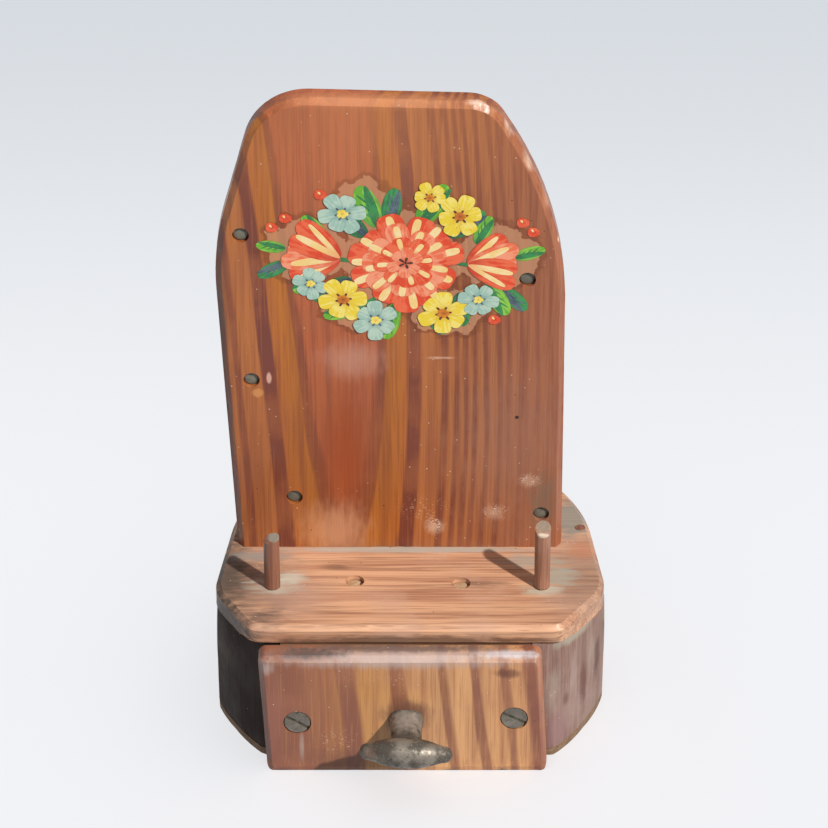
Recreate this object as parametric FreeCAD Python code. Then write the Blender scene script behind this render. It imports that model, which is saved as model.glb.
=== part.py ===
import FreeCAD, Part
import math
import os

os.makedirs("parts", exist_ok=True)

# Old pine candle box, in millimetres. A horseshoe-shaped base holds one drawer, a shelf with two pegs
# lies on the base, and a tall arched board stands across the shelf with two battens behind it.
# +Z is up, the drawer opens along -Y, and the origin is the middle of the base in plan, on the
# surface that it stands on.

# Overall sizes
base_width = 149.4
base_depth = 125.4
body_height = 52.6
backboard_height = 198.0
stock = 8.5

# Plan of the base at its top: a straight front, cut corners, sides that draw in and a round back
left_cheek_front = 13.5
right_cheek_front = 14.0
shoulder_out = 0.9
shoulder_setback = 24.7
side_draw = 8.0
corner_round = 8.0
shoulder_round = 20.0

# Below the shelf each front corner is rasped away more and more towards the foot, to a big radius
corner_cut_radius = 62.0
corner_cut_depth = 4.6
corner_cut_clear = 0.6
corner_cut_heading = 34.0
corner_cut_setback = 17.0

# Base: bottom board, two cheeks, a rear block and a rail under the shelf
bottom_thickness = 3.0
cavity_end_room = 1.7
rail_depth = 45.0
rail_housing = 2.0

# Shelf
shelf_inset = 0.5
shelf_ease = 2.0

# Pegs: dowels shaved at the foot, glued through the shelf into the cheeks, with ends sawn by hand
peg_radius = 3.15
peg_foot_radius = 2.9
peg_setback = 26.5
left_peg_height = 22.3
right_peg_height = 26.9
left_peg_beyond_cavity = 5.2
right_peg_beyond_cavity = 6.3
peg_in_cheek = 12.0
left_peg_cut = (16.0, 6.0)
right_peg_cut = (4.0, 26.0)

# Wooden pin that holds the rear of the shelf on the right cheek
pin_radius = 1.9
pin_setback = 64.8
pin_x = 65.5
pin_in_cheek = 15.0

# Arched board, with its left edge, right edge and crown drawn by corners and radii
board_setback = 51.8
board_left_margin = 8.2
board_right_margin = 16.7
left_shoulder_out = 6.4
left_shoulder_drop = 64.6
left_shoulder_radius = 107.0
left_crown_in = 11.2
left_crown_radius = 24.0
right_crown_in = 28.5
right_crown_drop = 2.3
right_crown_radius = 16.0
right_shoulder_in = 0.8
right_shoulder_drop = 48.4
right_shoulder_radius = 150.0
board_ease = 2.2

# Battens behind the board
batten_width = 28.0
batten_thickness = 12.0
left_batten_margin = 6.0
right_batten_margin = 3.5
left_batten_height = 151.0
right_batten_height = 129.0
batten_ease = 1.0

# Round-headed nails through the board: how far in from the batten's outer edge, and height above the shelf
left_board_nails = ((4.4, 140.4), (7.1, 76.9), (22.4, 23.2))
right_board_nails = ((11.4, 121.2), (4.7, 15.5))
board_head_radius = 2.8
board_head_thickness = 1.6
board_nail_side = 2.4
board_nail_length = 17.0
board_head_depth = 1.1

# Screws through the shelf into the rail: place across the shelf, and distance behind its front
shelf_screw_places = ((-21.3, 29.6), (19.1, 28.2))
shelf_head_radius = 3.3
shelf_head_thickness = 1.8
shelf_screw_radius = 1.7
shelf_screw_length = 13.5
shelf_head_depth = 1.3

# Square cut nails with no head
nail_side = 1.8
nail_length = 18.0
nail_sink = 0.4
bottom_nail_inset = 9.0
bottom_nail_setbacks = (24.0, 72.0)
foot_nail_length = 26.0
foot_nail_from_edge = 9.0

# Drawer
drawer_center = -2.0
drawer_width = 90.0
drawer_length = 88.0
drawer_side_thickness = 8.0
drawer_back_thickness = 8.0
drawer_bottom_thickness = 3.0
side_clearance = 0.5
floor_clearance = 0.4
top_clearance = 0.6
drawer_nail_length = 14.0
drawer_nail_setbacks = (22.0, 60.0)
drawer_corner_nail_shares = (0.28, 0.72)

# Drawer front, laid over the mouth of the cavity and cut a little off square
drawer_front_overlap_left = 8.7
drawer_front_overlap_right = 7.1
drawer_front_lean = 2.8
drawer_front_lift = 0.6
drawer_front_drop = 0.3
drawer_front_gap = 0.3
drawer_front_corner = 3.2
drawer_front_ease = 2.0

# Slotted screws through the drawer front into the drawer sides: height above the base's foot
drawer_screw_heights = (22.6, 24.6)
drawer_head_radius = 4.95
drawer_head_thickness = 2.4
drawer_screw_radius = 2.0
drawer_screw_length = 32.0
drawer_head_depth = 0.4
slot_width = 1.3
slot_depth = 0.9
slot_turns = (-32.0, -28.0)

# T-shaped pull: a turned stem with a spindle-shaped bar across its end, and the screw that holds it
pull_offset = 0.2
pull_height = 23.4
pull_standoff = 19.2
pull_bar_length = 35.2
pull_bar_radius = 5.9
pull_bar_end_radius = 3.2
pull_bar_belly = 9.0
pull_bar_tilt = 3.2
pull_root_radius = 7.3
pull_root_thickness = 1.4
pull_flare_length = 3.2
pull_stem_radius = 5.6
pull_screw_radius = 1.9
pull_screw_head_side = 7.0
pull_screw_head_thickness = 2.2
pull_screw_in_stem = 9.0

# Room round a screw, nail, peg or pin in its own hole, round a screw's head and at a hole's end
hole_clearance = 0.06
head_room = 0.2
hole_end_room = 0.2

# How far a hole's tool runs on past the face that the hole opens in
hole_overshoot = 1.0

# Places worked out from the sizes above
front_y = -base_depth / 2
back_y = base_depth / 2
half_width = base_width / 2
shelf_z = body_height
shelf_top = body_height + stock
board_front_y = front_y + board_setback
board_back_y = board_front_y + stock
board_top = shelf_top + backboard_height
board_left = -half_width + board_left_margin
board_right = half_width - board_right_margin
left_batten_x = board_left - left_shoulder_out + left_batten_margin
right_batten_x = board_right - right_batten_margin
batten_back_y = board_back_y + batten_thickness
drawer_left = drawer_center - drawer_width / 2
drawer_right = drawer_center + drawer_width / 2
drawer_back_y = front_y + drawer_length
cavity_left = drawer_left - side_clearance
cavity_right = drawer_right + side_clearance
cavity_back_y = drawer_back_y + cavity_end_room
drawer_floor = bottom_thickness + floor_clearance
drawer_side_floor = drawer_floor + drawer_bottom_thickness
rail_bottom = body_height - stock
drawer_top = rail_bottom - top_clearance
drawer_face_back = front_y - drawer_front_gap
drawer_face_front = drawer_face_back - stock
left_peg_x = cavity_left - left_peg_beyond_cavity
right_peg_x = cavity_right + right_peg_beyond_cavity
peg_y = front_y + peg_setback
left_front_reach = left_cheek_front - cavity_left
right_front_reach = right_cheek_front + cavity_right
pull_x = drawer_center + pull_offset

UP = FreeCAD.Vector(0, 0, 1)
BACK = FreeCAD.Vector(0, 1, 0)
RIGHT = FreeCAD.Vector(1, 0, 0)


def vector(x, y, z):
    return FreeCAD.Vector(x, y, z)


def box(low, high):
    """A block between two opposite corners."""
    size = [high[i] - low[i] for i in range(3)]
    return Part.makeBox(size[0], size[1], size[2], vector(*low))


def rod(radius, start, direction, length):
    return Part.makeCylinder(radius, length, vector(*start), direction)


def edges_where(shape, test):
    """The edges of a shape whose middle point passes the test."""
    chosen = []
    for edge in shape.Edges:
        middle = edge.valueAt((edge.FirstParameter + edge.LastParameter) / 2)
        if test(middle):
            chosen.append(edge)
    return chosen


def near(value, wanted):
    return abs(value - wanted) < 0.01


def save(node, solids):
    """Write one piece, or one group of alike pieces, as its own file."""
    shape = solids[0] if len(solids) == 1 else Part.makeCompound(solids)
    shape.exportStep("parts/" + node + ".step")


def level(z):
    """Places a drawn point in a level plane."""
    return lambda u, v: vector(u, v, z)


def upright(y):
    """Places a drawn point in an upright plane."""
    return lambda u, v: vector(u, y, v)


def rounded_outline(corners, place):
    """A closed outline: each corner is (u, v, radius), and its arc is tangent to the two edges that
    meet there. Neighbouring arcs may meet with no straight piece between them."""
    count = len(corners)
    joints = []
    for index, (u, v, radius) in enumerate(corners):
        here = place(u, v)
        before = corners[index - 1]
        after = corners[(index + 1) % count]
        to_before = (place(before[0], before[1]) - here).normalize()
        to_after = (place(after[0], after[1]) - here).normalize()
        half_turn = (math.pi - to_before.getAngle(to_after)) / 2
        reach = radius * math.tan(half_turn)
        inward = (to_before + to_after).normalize()
        middle = here + inward * radius * (1 / math.cos(half_turn) - 1)
        joints.append((here + to_before * reach, middle, here + to_after * reach, radius))
    edges = []
    for index, (start, middle, end, radius) in enumerate(joints):
        next_start = joints[(index + 1) % count][0]
        if radius > 0:
            edges.append(Part.Arc(start, middle, end).toShape())
        if end.distanceToPoint(next_start) > 0.001:
            edges.append(Part.LineSegment(end, next_start).toShape())
    return Part.Wire(edges)


def plan_outline(z, left_front, right_front, shoulder, setback, draw, corner, rounding, back):
    """The horseshoe outline of the base at one height. The sides run back from the shoulders, drawn
    in by an angle, into one round back whose two arcs meet in the middle."""
    shoulder_y = front_y + setback
    back_x = shoulder - (back - shoulder_y) * math.tan(math.radians(draw))
    back_round = back_x / math.tan(math.radians(90 - draw) / 2)
    corners = [
        (-left_front, front_y, corner),
        (right_front, front_y, corner),
        (shoulder, shoulder_y, rounding),
        (back_x, back, back_round),
        (-back_x, back, back_round),
        (-shoulder, shoulder_y, rounding),
    ]
    return rounded_outline(corners, level(z))


def screw(head, direction, head_radius, head_thickness, radius, length):
    """A plain screw from the middle of its head's face: a flat head and a shank."""
    start = vector(*head)
    disc = Part.makeCylinder(head_radius, head_thickness, start, direction)
    shank = Part.makeCylinder(radius, length - head_thickness, start + direction * head_thickness, direction)
    return disc.fuse(shank)


def screw_hole(head, direction, head_radius, head_thickness, radius, length, depth):
    """The hole that such a screw sits in, open above the head, with room all round it."""
    start = vector(*head)
    above = depth + hole_overshoot
    mouth_length = above + head_thickness + hole_clearance
    mouth = Part.makeCylinder(head_radius + head_room, mouth_length, start - direction * above, direction)
    shank = Part.makeCylinder(radius + hole_clearance, length + hole_clearance, start, direction)
    return mouth.fuse(shank)


def square_bar(side, start, direction, length):
    """A square bar along one of the axes, from the middle of its end."""
    end = start + direction * length
    half = side / 2
    low = []
    high = []
    for from_value, to_value, along in zip(start, end, direction):
        spread = 0 if abs(along) > 0.5 else half
        low.append(min(from_value, to_value) - spread)
        high.append(max(from_value, to_value) + spread)
    return box(low, high)


def nail(head, direction, length):
    """A cut nail driven just under the surface at its head."""
    return square_bar(nail_side, vector(*head) + direction * nail_sink, direction, length)


def nail_hole(head, direction, length):
    side = nail_side + hole_clearance * 2
    start = vector(*head) - direction * hole_overshoot
    return square_bar(side, start, direction, hole_overshoot + nail_sink + length + hole_clearance)


# Where each fastener's head sits

board_nail_heads = []
for inward, up in left_board_nails:
    board_nail_heads.append((left_batten_x + inward, board_front_y + board_head_depth, shelf_top + up))
for inward, up in right_board_nails:
    board_nail_heads.append((right_batten_x - inward, board_front_y + board_head_depth, shelf_top + up))

shelf_head_z = shelf_top - shelf_head_depth
shelf_screw_heads = [(x, front_y + setback, shelf_head_z) for x, setback in shelf_screw_places]

batten_middle_y = (board_back_y + batten_back_y) / 2
foot_nail_places = []
for edge in (left_batten_x, right_batten_x - batten_width):
    for x in (edge + foot_nail_from_edge, edge + batten_width - foot_nail_from_edge):
        foot_nail_places.append((x, batten_middle_y, shelf_z))

bottom_nail_places = []
for setback in bottom_nail_setbacks:
    for x in (cavity_left - bottom_nail_inset, cavity_right + bottom_nail_inset):
        bottom_nail_places.append((x, front_y + setback, 0))
for x in (cavity_left + drawer_width / 3, cavity_right - drawer_width / 3):
    bottom_nail_places.append((x, (cavity_back_y + back_y) / 2, 0))

left_side_middle = drawer_left + drawer_side_thickness / 2
right_side_middle = drawer_right - drawer_side_thickness / 2
drawer_back_middle_y = drawer_back_y - drawer_back_thickness / 2
drawer_head_y = drawer_face_front + drawer_head_depth
drawer_screw_heads = [
    (left_side_middle, drawer_head_y, drawer_screw_heights[0]),
    (right_side_middle, drawer_head_y, drawer_screw_heights[1]),
]
drawer_bottom_nail_places = []
for setback in drawer_nail_setbacks:
    for x in (left_side_middle, right_side_middle):
        drawer_bottom_nail_places.append((x, front_y + setback, drawer_floor))
for x in (drawer_center - drawer_width / 4, drawer_center + drawer_width / 4):
    drawer_bottom_nail_places.append((x, drawer_back_middle_y, drawer_floor))


def headed_nail(head, direction, head_radius, head_thickness, side, length):
    """A cut nail with a round flat head, from the middle of its head's face."""
    start = vector(*head)
    disc = rod(head_radius, start, direction, head_thickness)
    return disc.fuse(square_bar(side, start + direction * head_thickness, direction, length - head_thickness))


def headed_nail_hole(head, direction, head_radius, head_thickness, side, length, depth):
    """The hole of such a nail: a round recess for the head and a square hole for the shank."""
    start = vector(*head)
    above = depth + hole_overshoot
    mouth_length = above + head_thickness + hole_clearance
    mouth = rod(head_radius + head_room, start - direction * above, direction, mouth_length)
    shank_side = side + hole_clearance * 2
    return mouth.fuse(square_bar(shank_side, start, direction, length + hole_clearance))


def fastener_group(heads, direction, make, *sizes):
    """One solid or one hole for each place in a list of heads."""
    return [make(head, direction, *sizes) for head in heads]


def cut_all(shape, tools):
    for tool in tools:
        shape = shape.cut(tool)
    return shape


board_nail_sizes = (board_head_radius, board_head_thickness, board_nail_side, board_nail_length)
shelf_screw_sizes = (shelf_head_radius, shelf_head_thickness, shelf_screw_radius, shelf_screw_length)
drawer_screw_sizes = (drawer_head_radius, drawer_head_thickness, drawer_screw_radius, drawer_screw_length)

board_nail_holes = fastener_group(
    board_nail_heads, BACK, headed_nail_hole, *board_nail_sizes, board_head_depth)
shelf_screw_holes = fastener_group(shelf_screw_heads, -UP, screw_hole, *shelf_screw_sizes, shelf_head_depth)
foot_nail_holes = fastener_group(foot_nail_places, UP, nail_hole, foot_nail_length)
drawer_screw_holes = fastener_group(
    drawer_screw_heads, BACK, screw_hole, *drawer_screw_sizes, drawer_head_depth)


# The base: one horseshoe block with rasped corners, sawn into its bottom board, cheeks and rear block

def top_outline(z, inset):
    return plan_outline(
        z, left_front_reach - inset, right_front_reach - inset, half_width + shoulder_out - inset,
        shoulder_setback, side_draw, corner_round, shoulder_round, back_y - inset)


def rasp_corner(shape, side, front_reach):
    """Cut away one front corner below the shelf with the inside of a big leaning cylinder. The cut is
    deepest at the foot and dies out just under the shelf."""
    heading = math.radians(corner_cut_heading)
    outward = vector(side * math.cos(heading), -math.sin(heading), 0)
    corner_x = (front_reach + half_width + shoulder_out) / 2 * side
    face = vector(corner_x, front_y + corner_cut_setback, 0)
    foot = face - outward * (corner_cut_radius + corner_cut_depth)
    lean = outward * (corner_cut_depth + corner_cut_clear) + UP * body_height
    low = foot - lean
    keep = Part.makeCylinder(corner_cut_radius, lean.Length * 3, low, lean)
    corner_low = vector(min(0, side * base_width), front_y - 1, -1)
    corner_block = Part.makeBox(base_width, corner_cut_setback * 3, body_height + 2, corner_low)
    return shape.cut(corner_block.cut(keep).common(corner_half(side)))


def corner_half(side):
    """The half of space on one side of the drawer's cavity."""
    inner = cavity_right if side > 0 else -cavity_left
    start = inner if side > 0 else -inner - base_width
    return Part.makeBox(base_width, base_depth * 2, body_height * 3, vector(start, -base_depth, -body_height))


block = Part.Face(top_outline(0, 0)).extrude(UP * body_height)
block = rasp_corner(block, -1, left_front_reach)
block = rasp_corner(block, 1, right_front_reach)

margin = 5.0
low_x = -half_width - margin
high_x = half_width + margin
low_y = front_y - margin
high_y = back_y + margin

rail_low = (cavity_left - rail_housing, front_y, rail_bottom)
rail_high = (cavity_right + rail_housing, front_y + rail_depth, body_height)
rail = box(rail_low, rail_high)
rail_notch = box(
    (rail_low[0] - hole_clearance, front_y - margin, rail_bottom - hole_clearance),
    (rail_high[0] + hole_clearance, rail_high[1] + hole_clearance, body_height + margin))

left_cheek = block.common(box((low_x, low_y, bottom_thickness), (cavity_left, high_y, body_height)))
right_cheek = block.common(box((cavity_right, low_y, bottom_thickness), (high_x, high_y, body_height)))
rear_block = block.common(
    box((cavity_left, cavity_back_y, bottom_thickness), (cavity_right, high_y, body_height)))
bottom_board = block.common(box((low_x, low_y, 0), (high_x, high_y, bottom_thickness)))

bottom_nail_holes = fastener_group(bottom_nail_places, UP, nail_hole, nail_length)


def shelf_bore(radius, x, y, depth):
    """A round hole through the shelf and on into the cheek below it."""
    foot = shelf_z - depth - hole_end_room
    return rod(radius + hole_clearance, (x, y, foot), UP, shelf_top + hole_overshoot - foot)


pin_y = front_y + pin_setback
peg_holes = [shelf_bore(peg_foot_radius, x, peg_y, peg_in_cheek) for x in (left_peg_x, right_peg_x)]
pin_hole = shelf_bore(pin_radius, pin_x, pin_y, pin_in_cheek)

left_cheek = cut_all(left_cheek, [rail_notch, peg_holes[0]] + bottom_nail_holes)
right_cheek = cut_all(right_cheek, [rail_notch, peg_holes[1], pin_hole] + bottom_nail_holes)
rear_block = cut_all(rear_block, bottom_nail_holes)
bottom_board = cut_all(bottom_board, bottom_nail_holes)
rail = cut_all(rail, shelf_screw_holes + peg_holes)

save("bottom_board", [bottom_board])
save("bottom_nails", fastener_group(bottom_nail_places, UP, nail, nail_length))
save("left_cheek", [left_cheek])
save("right_cheek", [right_cheek])
save("rear_block", [rear_block])
save("front_rail", [rail])


# The shelf, with its pegs, pin and screws

shelf = Part.Face(top_outline(shelf_z, shelf_inset)).extrude(UP * stock)
shelf = shelf.makeChamfer(shelf_ease, edges_where(shelf, lambda middle: near(middle.z, shelf_top)))
shelf = cut_all(shelf, peg_holes + [pin_hole] + shelf_screw_holes + foot_nail_holes)


def peg(x, height, cut):
    """A dowel from inside the cheek to its sawn end, whose face is tilted about Y and X."""
    foot = rod(peg_foot_radius, (x, peg_y, shelf_z - peg_in_cheek), UP, peg_in_cheek + stock)
    whole = foot.fuse(rod(peg_radius, (x, peg_y, shelf_top), UP, height + peg_radius * 2))
    side = peg_radius * 8
    saw = Part.makeBox(side, side, side, vector(-side / 2, -side / 2, 0))
    saw.rotate(vector(0, 0, 0), BACK, -cut[0])
    saw.rotate(vector(0, 0, 0), RIGHT, cut[1])
    saw.translate(vector(x, peg_y, shelf_top + height))
    return whole.cut(saw)


save("top_shelf", [shelf])
save("left_peg", [peg(left_peg_x, left_peg_height, left_peg_cut)])
save("right_peg", [peg(right_peg_x, right_peg_height, right_peg_cut)])
save("shelf_pin", [rod(pin_radius, (pin_x, pin_y, shelf_z - pin_in_cheek), UP, pin_in_cheek + stock)])
save("shelf_screws", fastener_group(shelf_screw_heads, -UP, screw, *shelf_screw_sizes))


# The arched board and the battens behind it

board_corners = [
    (board_left, shelf_top, 0),
    (board_left - left_shoulder_out, board_top - left_shoulder_drop, left_shoulder_radius),
    (board_left + left_crown_in, board_top, left_crown_radius),
    (board_right - right_crown_in, board_top - right_crown_drop, right_crown_radius),
    (board_right - right_shoulder_in, board_top - right_shoulder_drop, right_shoulder_radius),
    (board_right, shelf_top, 0),
]
backboard = Part.Face(rounded_outline(board_corners, upright(board_front_y))).extrude(BACK * stock)
front_edges = edges_where(
    backboard, lambda middle: near(middle.y, board_front_y) and not near(middle.z, shelf_top))
backboard = backboard.makeChamfer(board_ease, front_edges)
backboard = cut_all(backboard, board_nail_holes)


def batten(low_edge, height):
    """An upright batten against the board's back, with its free edges eased."""
    low = (low_edge, board_back_y, shelf_top)
    high = (low_edge + batten_width, batten_back_y, shelf_top + height)
    shape = box(low, high)
    back_edges = edges_where(
        shape, lambda middle: near(middle.y, batten_back_y) and not near(middle.z, shelf_top))
    shape = shape.makeChamfer(batten_ease, back_edges)
    return cut_all(shape, board_nail_holes + foot_nail_holes)


save("backboard", [backboard])
save("backboard_nails", fastener_group(board_nail_heads, BACK, headed_nail, *board_nail_sizes))
save("left_batten", [batten(left_batten_x, left_batten_height)])
save("right_batten", [batten(right_batten_x - batten_width, right_batten_height)])
save("foot_nails", fastener_group(foot_nail_places, UP, nail, foot_nail_length))


# The drawer

drawer_front_left = cavity_left - drawer_front_overlap_left
drawer_front_right = cavity_right + drawer_front_overlap_right
front_top = body_height - drawer_front_drop
half_lean = drawer_front_lean / 2
front_corners = [
    (drawer_front_left - half_lean, front_top, drawer_front_corner),
    (drawer_front_right - half_lean, front_top, drawer_front_corner),
    (drawer_front_right + half_lean, drawer_front_lift, drawer_front_corner),
    (drawer_front_left + half_lean, drawer_front_lift, drawer_front_corner),
]
drawer_front = Part.Face(rounded_outline(front_corners, upright(drawer_face_front))).extrude(BACK * stock)
drawer_front = drawer_front.makeChamfer(
    drawer_front_ease, edges_where(drawer_front, lambda middle: near(middle.y, drawer_face_front)))

pull_screw_hole = rod(
    pull_screw_radius + hole_clearance, (pull_x, drawer_face_back + hole_overshoot, pull_height), -BACK,
    hole_overshoot + stock + pull_screw_in_stem + hole_end_room)
drawer_front = cut_all(drawer_front, drawer_screw_holes + [pull_screw_hole])

drawer_left_side = box(
    (drawer_left, drawer_face_back, drawer_side_floor),
    (drawer_left + drawer_side_thickness, drawer_back_y, drawer_top))
drawer_right_side = box(
    (drawer_right - drawer_side_thickness, drawer_face_back, drawer_side_floor),
    (drawer_right, drawer_back_y, drawer_top))
drawer_back = box(
    (drawer_left + drawer_side_thickness, drawer_back_y - drawer_back_thickness, drawer_side_floor),
    (drawer_right - drawer_side_thickness, drawer_back_y, drawer_top))
drawer_bottom = box(
    (drawer_left, drawer_face_back, drawer_floor), (drawer_right, drawer_back_y, drawer_side_floor))

drawer_nail_holes = fastener_group(drawer_bottom_nail_places, UP, nail_hole, drawer_nail_length)
drawer_corner_nails = []
for share in drawer_corner_nail_shares:
    z = drawer_side_floor + (drawer_top - drawer_side_floor) * share
    for x, direction in ((drawer_left, RIGHT), (drawer_right, -RIGHT)):
        head = (x, drawer_back_middle_y, z)
        drawer_corner_nails.append(nail(head, direction, drawer_nail_length))
        drawer_nail_holes.append(nail_hole(head, direction, drawer_nail_length))

drawer_left_side = cut_all(drawer_left_side, drawer_nail_holes + drawer_screw_holes)
drawer_right_side = cut_all(drawer_right_side, drawer_nail_holes + drawer_screw_holes)
drawer_back = cut_all(drawer_back, drawer_nail_holes)
drawer_bottom = cut_all(drawer_bottom, drawer_nail_holes)

save("drawer_front", [drawer_front])
save("drawer_left_side", [drawer_left_side])
save("drawer_right_side", [drawer_right_side])
save("drawer_back", [drawer_back])
save("drawer_bottom", [drawer_bottom])
save("drawer_bottom_nails", fastener_group(drawer_bottom_nail_places, UP, nail, drawer_nail_length))
save("drawer_corner_nails", drawer_corner_nails)

drawer_front_screws = []
for head, turn in zip(drawer_screw_heads, slot_turns):
    slotted = screw(head, BACK, *drawer_screw_sizes)
    slot = Part.makeBox(drawer_head_radius * 3, slot_depth * 2, slot_width,
                        vector(-drawer_head_radius * 1.5, -slot_depth, -slot_width / 2))
    slot.rotate(vector(0, 0, 0), BACK, -turn)
    slot.translate(vector(*head))
    drawer_front_screws.append(slotted.cut(slot))
save("drawer_front_screws", drawer_front_screws)


# The T-shaped pull

def cone(start, direction, length, start_radius, end_radius):
    return Part.makeCone(start_radius, end_radius, length, start, direction)


def half_bar(direction):
    """Half of the pull's bar: half of its straight belly and one long taper."""
    half_belly = pull_bar_belly / 2
    taper_length = pull_bar_length / 2 - half_belly
    belly = rod(pull_bar_radius, (0, 0, 0), direction, half_belly)
    taper = cone(direction * half_belly, direction, taper_length, pull_bar_radius, pull_bar_end_radius)
    return belly.fuse(taper)


bar = half_bar(RIGHT).fuse(half_bar(-RIGHT)).removeSplitter()
bar.rotate(vector(0, 0, 0), BACK, pull_bar_tilt)
bar.translate(vector(pull_x, drawer_face_front - pull_standoff, pull_height))

pull_root = vector(pull_x, drawer_face_front, pull_height)
flare_start = pull_root - BACK * pull_root_thickness
stem = rod(pull_root_radius, pull_root, -BACK, pull_root_thickness)
stem = stem.fuse(cone(flare_start, -BACK, pull_flare_length, pull_root_radius, pull_stem_radius))
stem = stem.fuse(rod(pull_stem_radius, pull_root, -BACK, pull_standoff))
pull = stem.fuse(bar).removeSplitter()

pull_screw_start = (pull_x, drawer_face_back, pull_height)
pull_screw = rod(pull_screw_radius, pull_screw_start, -BACK, stock + pull_screw_in_stem)
pull_screw = pull_screw.fuse(
    square_bar(pull_screw_head_side, vector(*pull_screw_start), BACK, pull_screw_head_thickness))

save("drawer_pull", [pull.cut(pull_screw_hole)])
save("pull_screw", [pull_screw])
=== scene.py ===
"""Looks of an old pine candle box: a horseshoe base with a drawer, two pegs and a painted board."""

import logging
import math
from collections.abc import Iterable, Sequence
from dataclasses import dataclass, field
from enum import Enum

import bmesh
import bpy
from mathutils import Matrix, Vector, noise


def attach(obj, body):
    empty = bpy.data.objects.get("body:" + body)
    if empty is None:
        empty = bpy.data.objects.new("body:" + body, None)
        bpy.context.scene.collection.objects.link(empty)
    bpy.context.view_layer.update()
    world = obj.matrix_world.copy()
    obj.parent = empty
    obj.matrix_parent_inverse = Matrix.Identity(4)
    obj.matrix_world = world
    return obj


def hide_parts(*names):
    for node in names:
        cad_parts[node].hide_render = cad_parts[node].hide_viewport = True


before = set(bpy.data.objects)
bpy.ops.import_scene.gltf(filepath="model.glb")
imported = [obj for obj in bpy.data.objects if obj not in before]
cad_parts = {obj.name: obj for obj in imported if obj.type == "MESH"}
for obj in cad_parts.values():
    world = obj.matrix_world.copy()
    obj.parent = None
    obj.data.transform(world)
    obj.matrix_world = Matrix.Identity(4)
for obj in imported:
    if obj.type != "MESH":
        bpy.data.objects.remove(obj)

LOG = logging.getLogger("candle_box")
MM = 0.001
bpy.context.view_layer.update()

Socket = bpy.types.NodeSocket
Shape = bmesh.types.BMesh
Piece = bpy.types.Object
Material = bpy.types.Material
Pair = tuple[float, float]
Triple = tuple[float, float, float]
UP = (0.0, 0.0, 1.0)
RIGHTWARDS = (1.0, 0.0, 0.0)
BACKWARDS = (0.0, 1.0, 0.0)
FORWARDS = (0.0, -1.0, 0.0)


def tint(code: str) -> tuple[float, float, float, float]:
    """Turns a paint code into linear colour.

    Args:
        code: Six hexadecimal digits after a hash, as on a colour card.

    Returns:
        Red, green, blue and full opacity.
    """
    shares = [int(code[i : i + 2], 16) / 255 for i in (1, 3, 5)]
    red, green, blue = (((c + 0.055) / 1.055) ** 2.4 if c > 0.04 else c / 12.92 for c in shares)
    return red, green, blue, 1.0


def in_metres(place: Sequence[float]) -> Vector:
    """Returns a place given in millimetres in the scene's metres."""
    return Vector(place) * MM


class Grain(Enum):
    """The way that a board's fibres run."""

    ACROSS = 0
    DEEP = 1
    UP = 2

    def stretch(self, along: float, across: float) -> Triple:
        """Returns pattern scales per millimetre that are long-drawn along the fibres."""
        return tuple(along if axis == self.value else across for axis in range(3))


@dataclass(frozen=True)
class Ring:
    """A dark growth ring: its distance from the pith, its width in millimetres and how dark it is."""

    radius: float
    width: float
    depth: float = 1.0


@dataclass(frozen=True)
class Patch:
    """A stained, worn or dusty place, a run of specks, or a painted highlight or painted shade: an uneven
    ellipsoid in millimetres.
    """

    centre: Triple
    radii: Triple
    colour: str
    strength: float = 0.6
    soft: float = 0.7
    ragged: float = 0.8
    flecked: float = 0.0
    rough: float = 0.6


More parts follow.
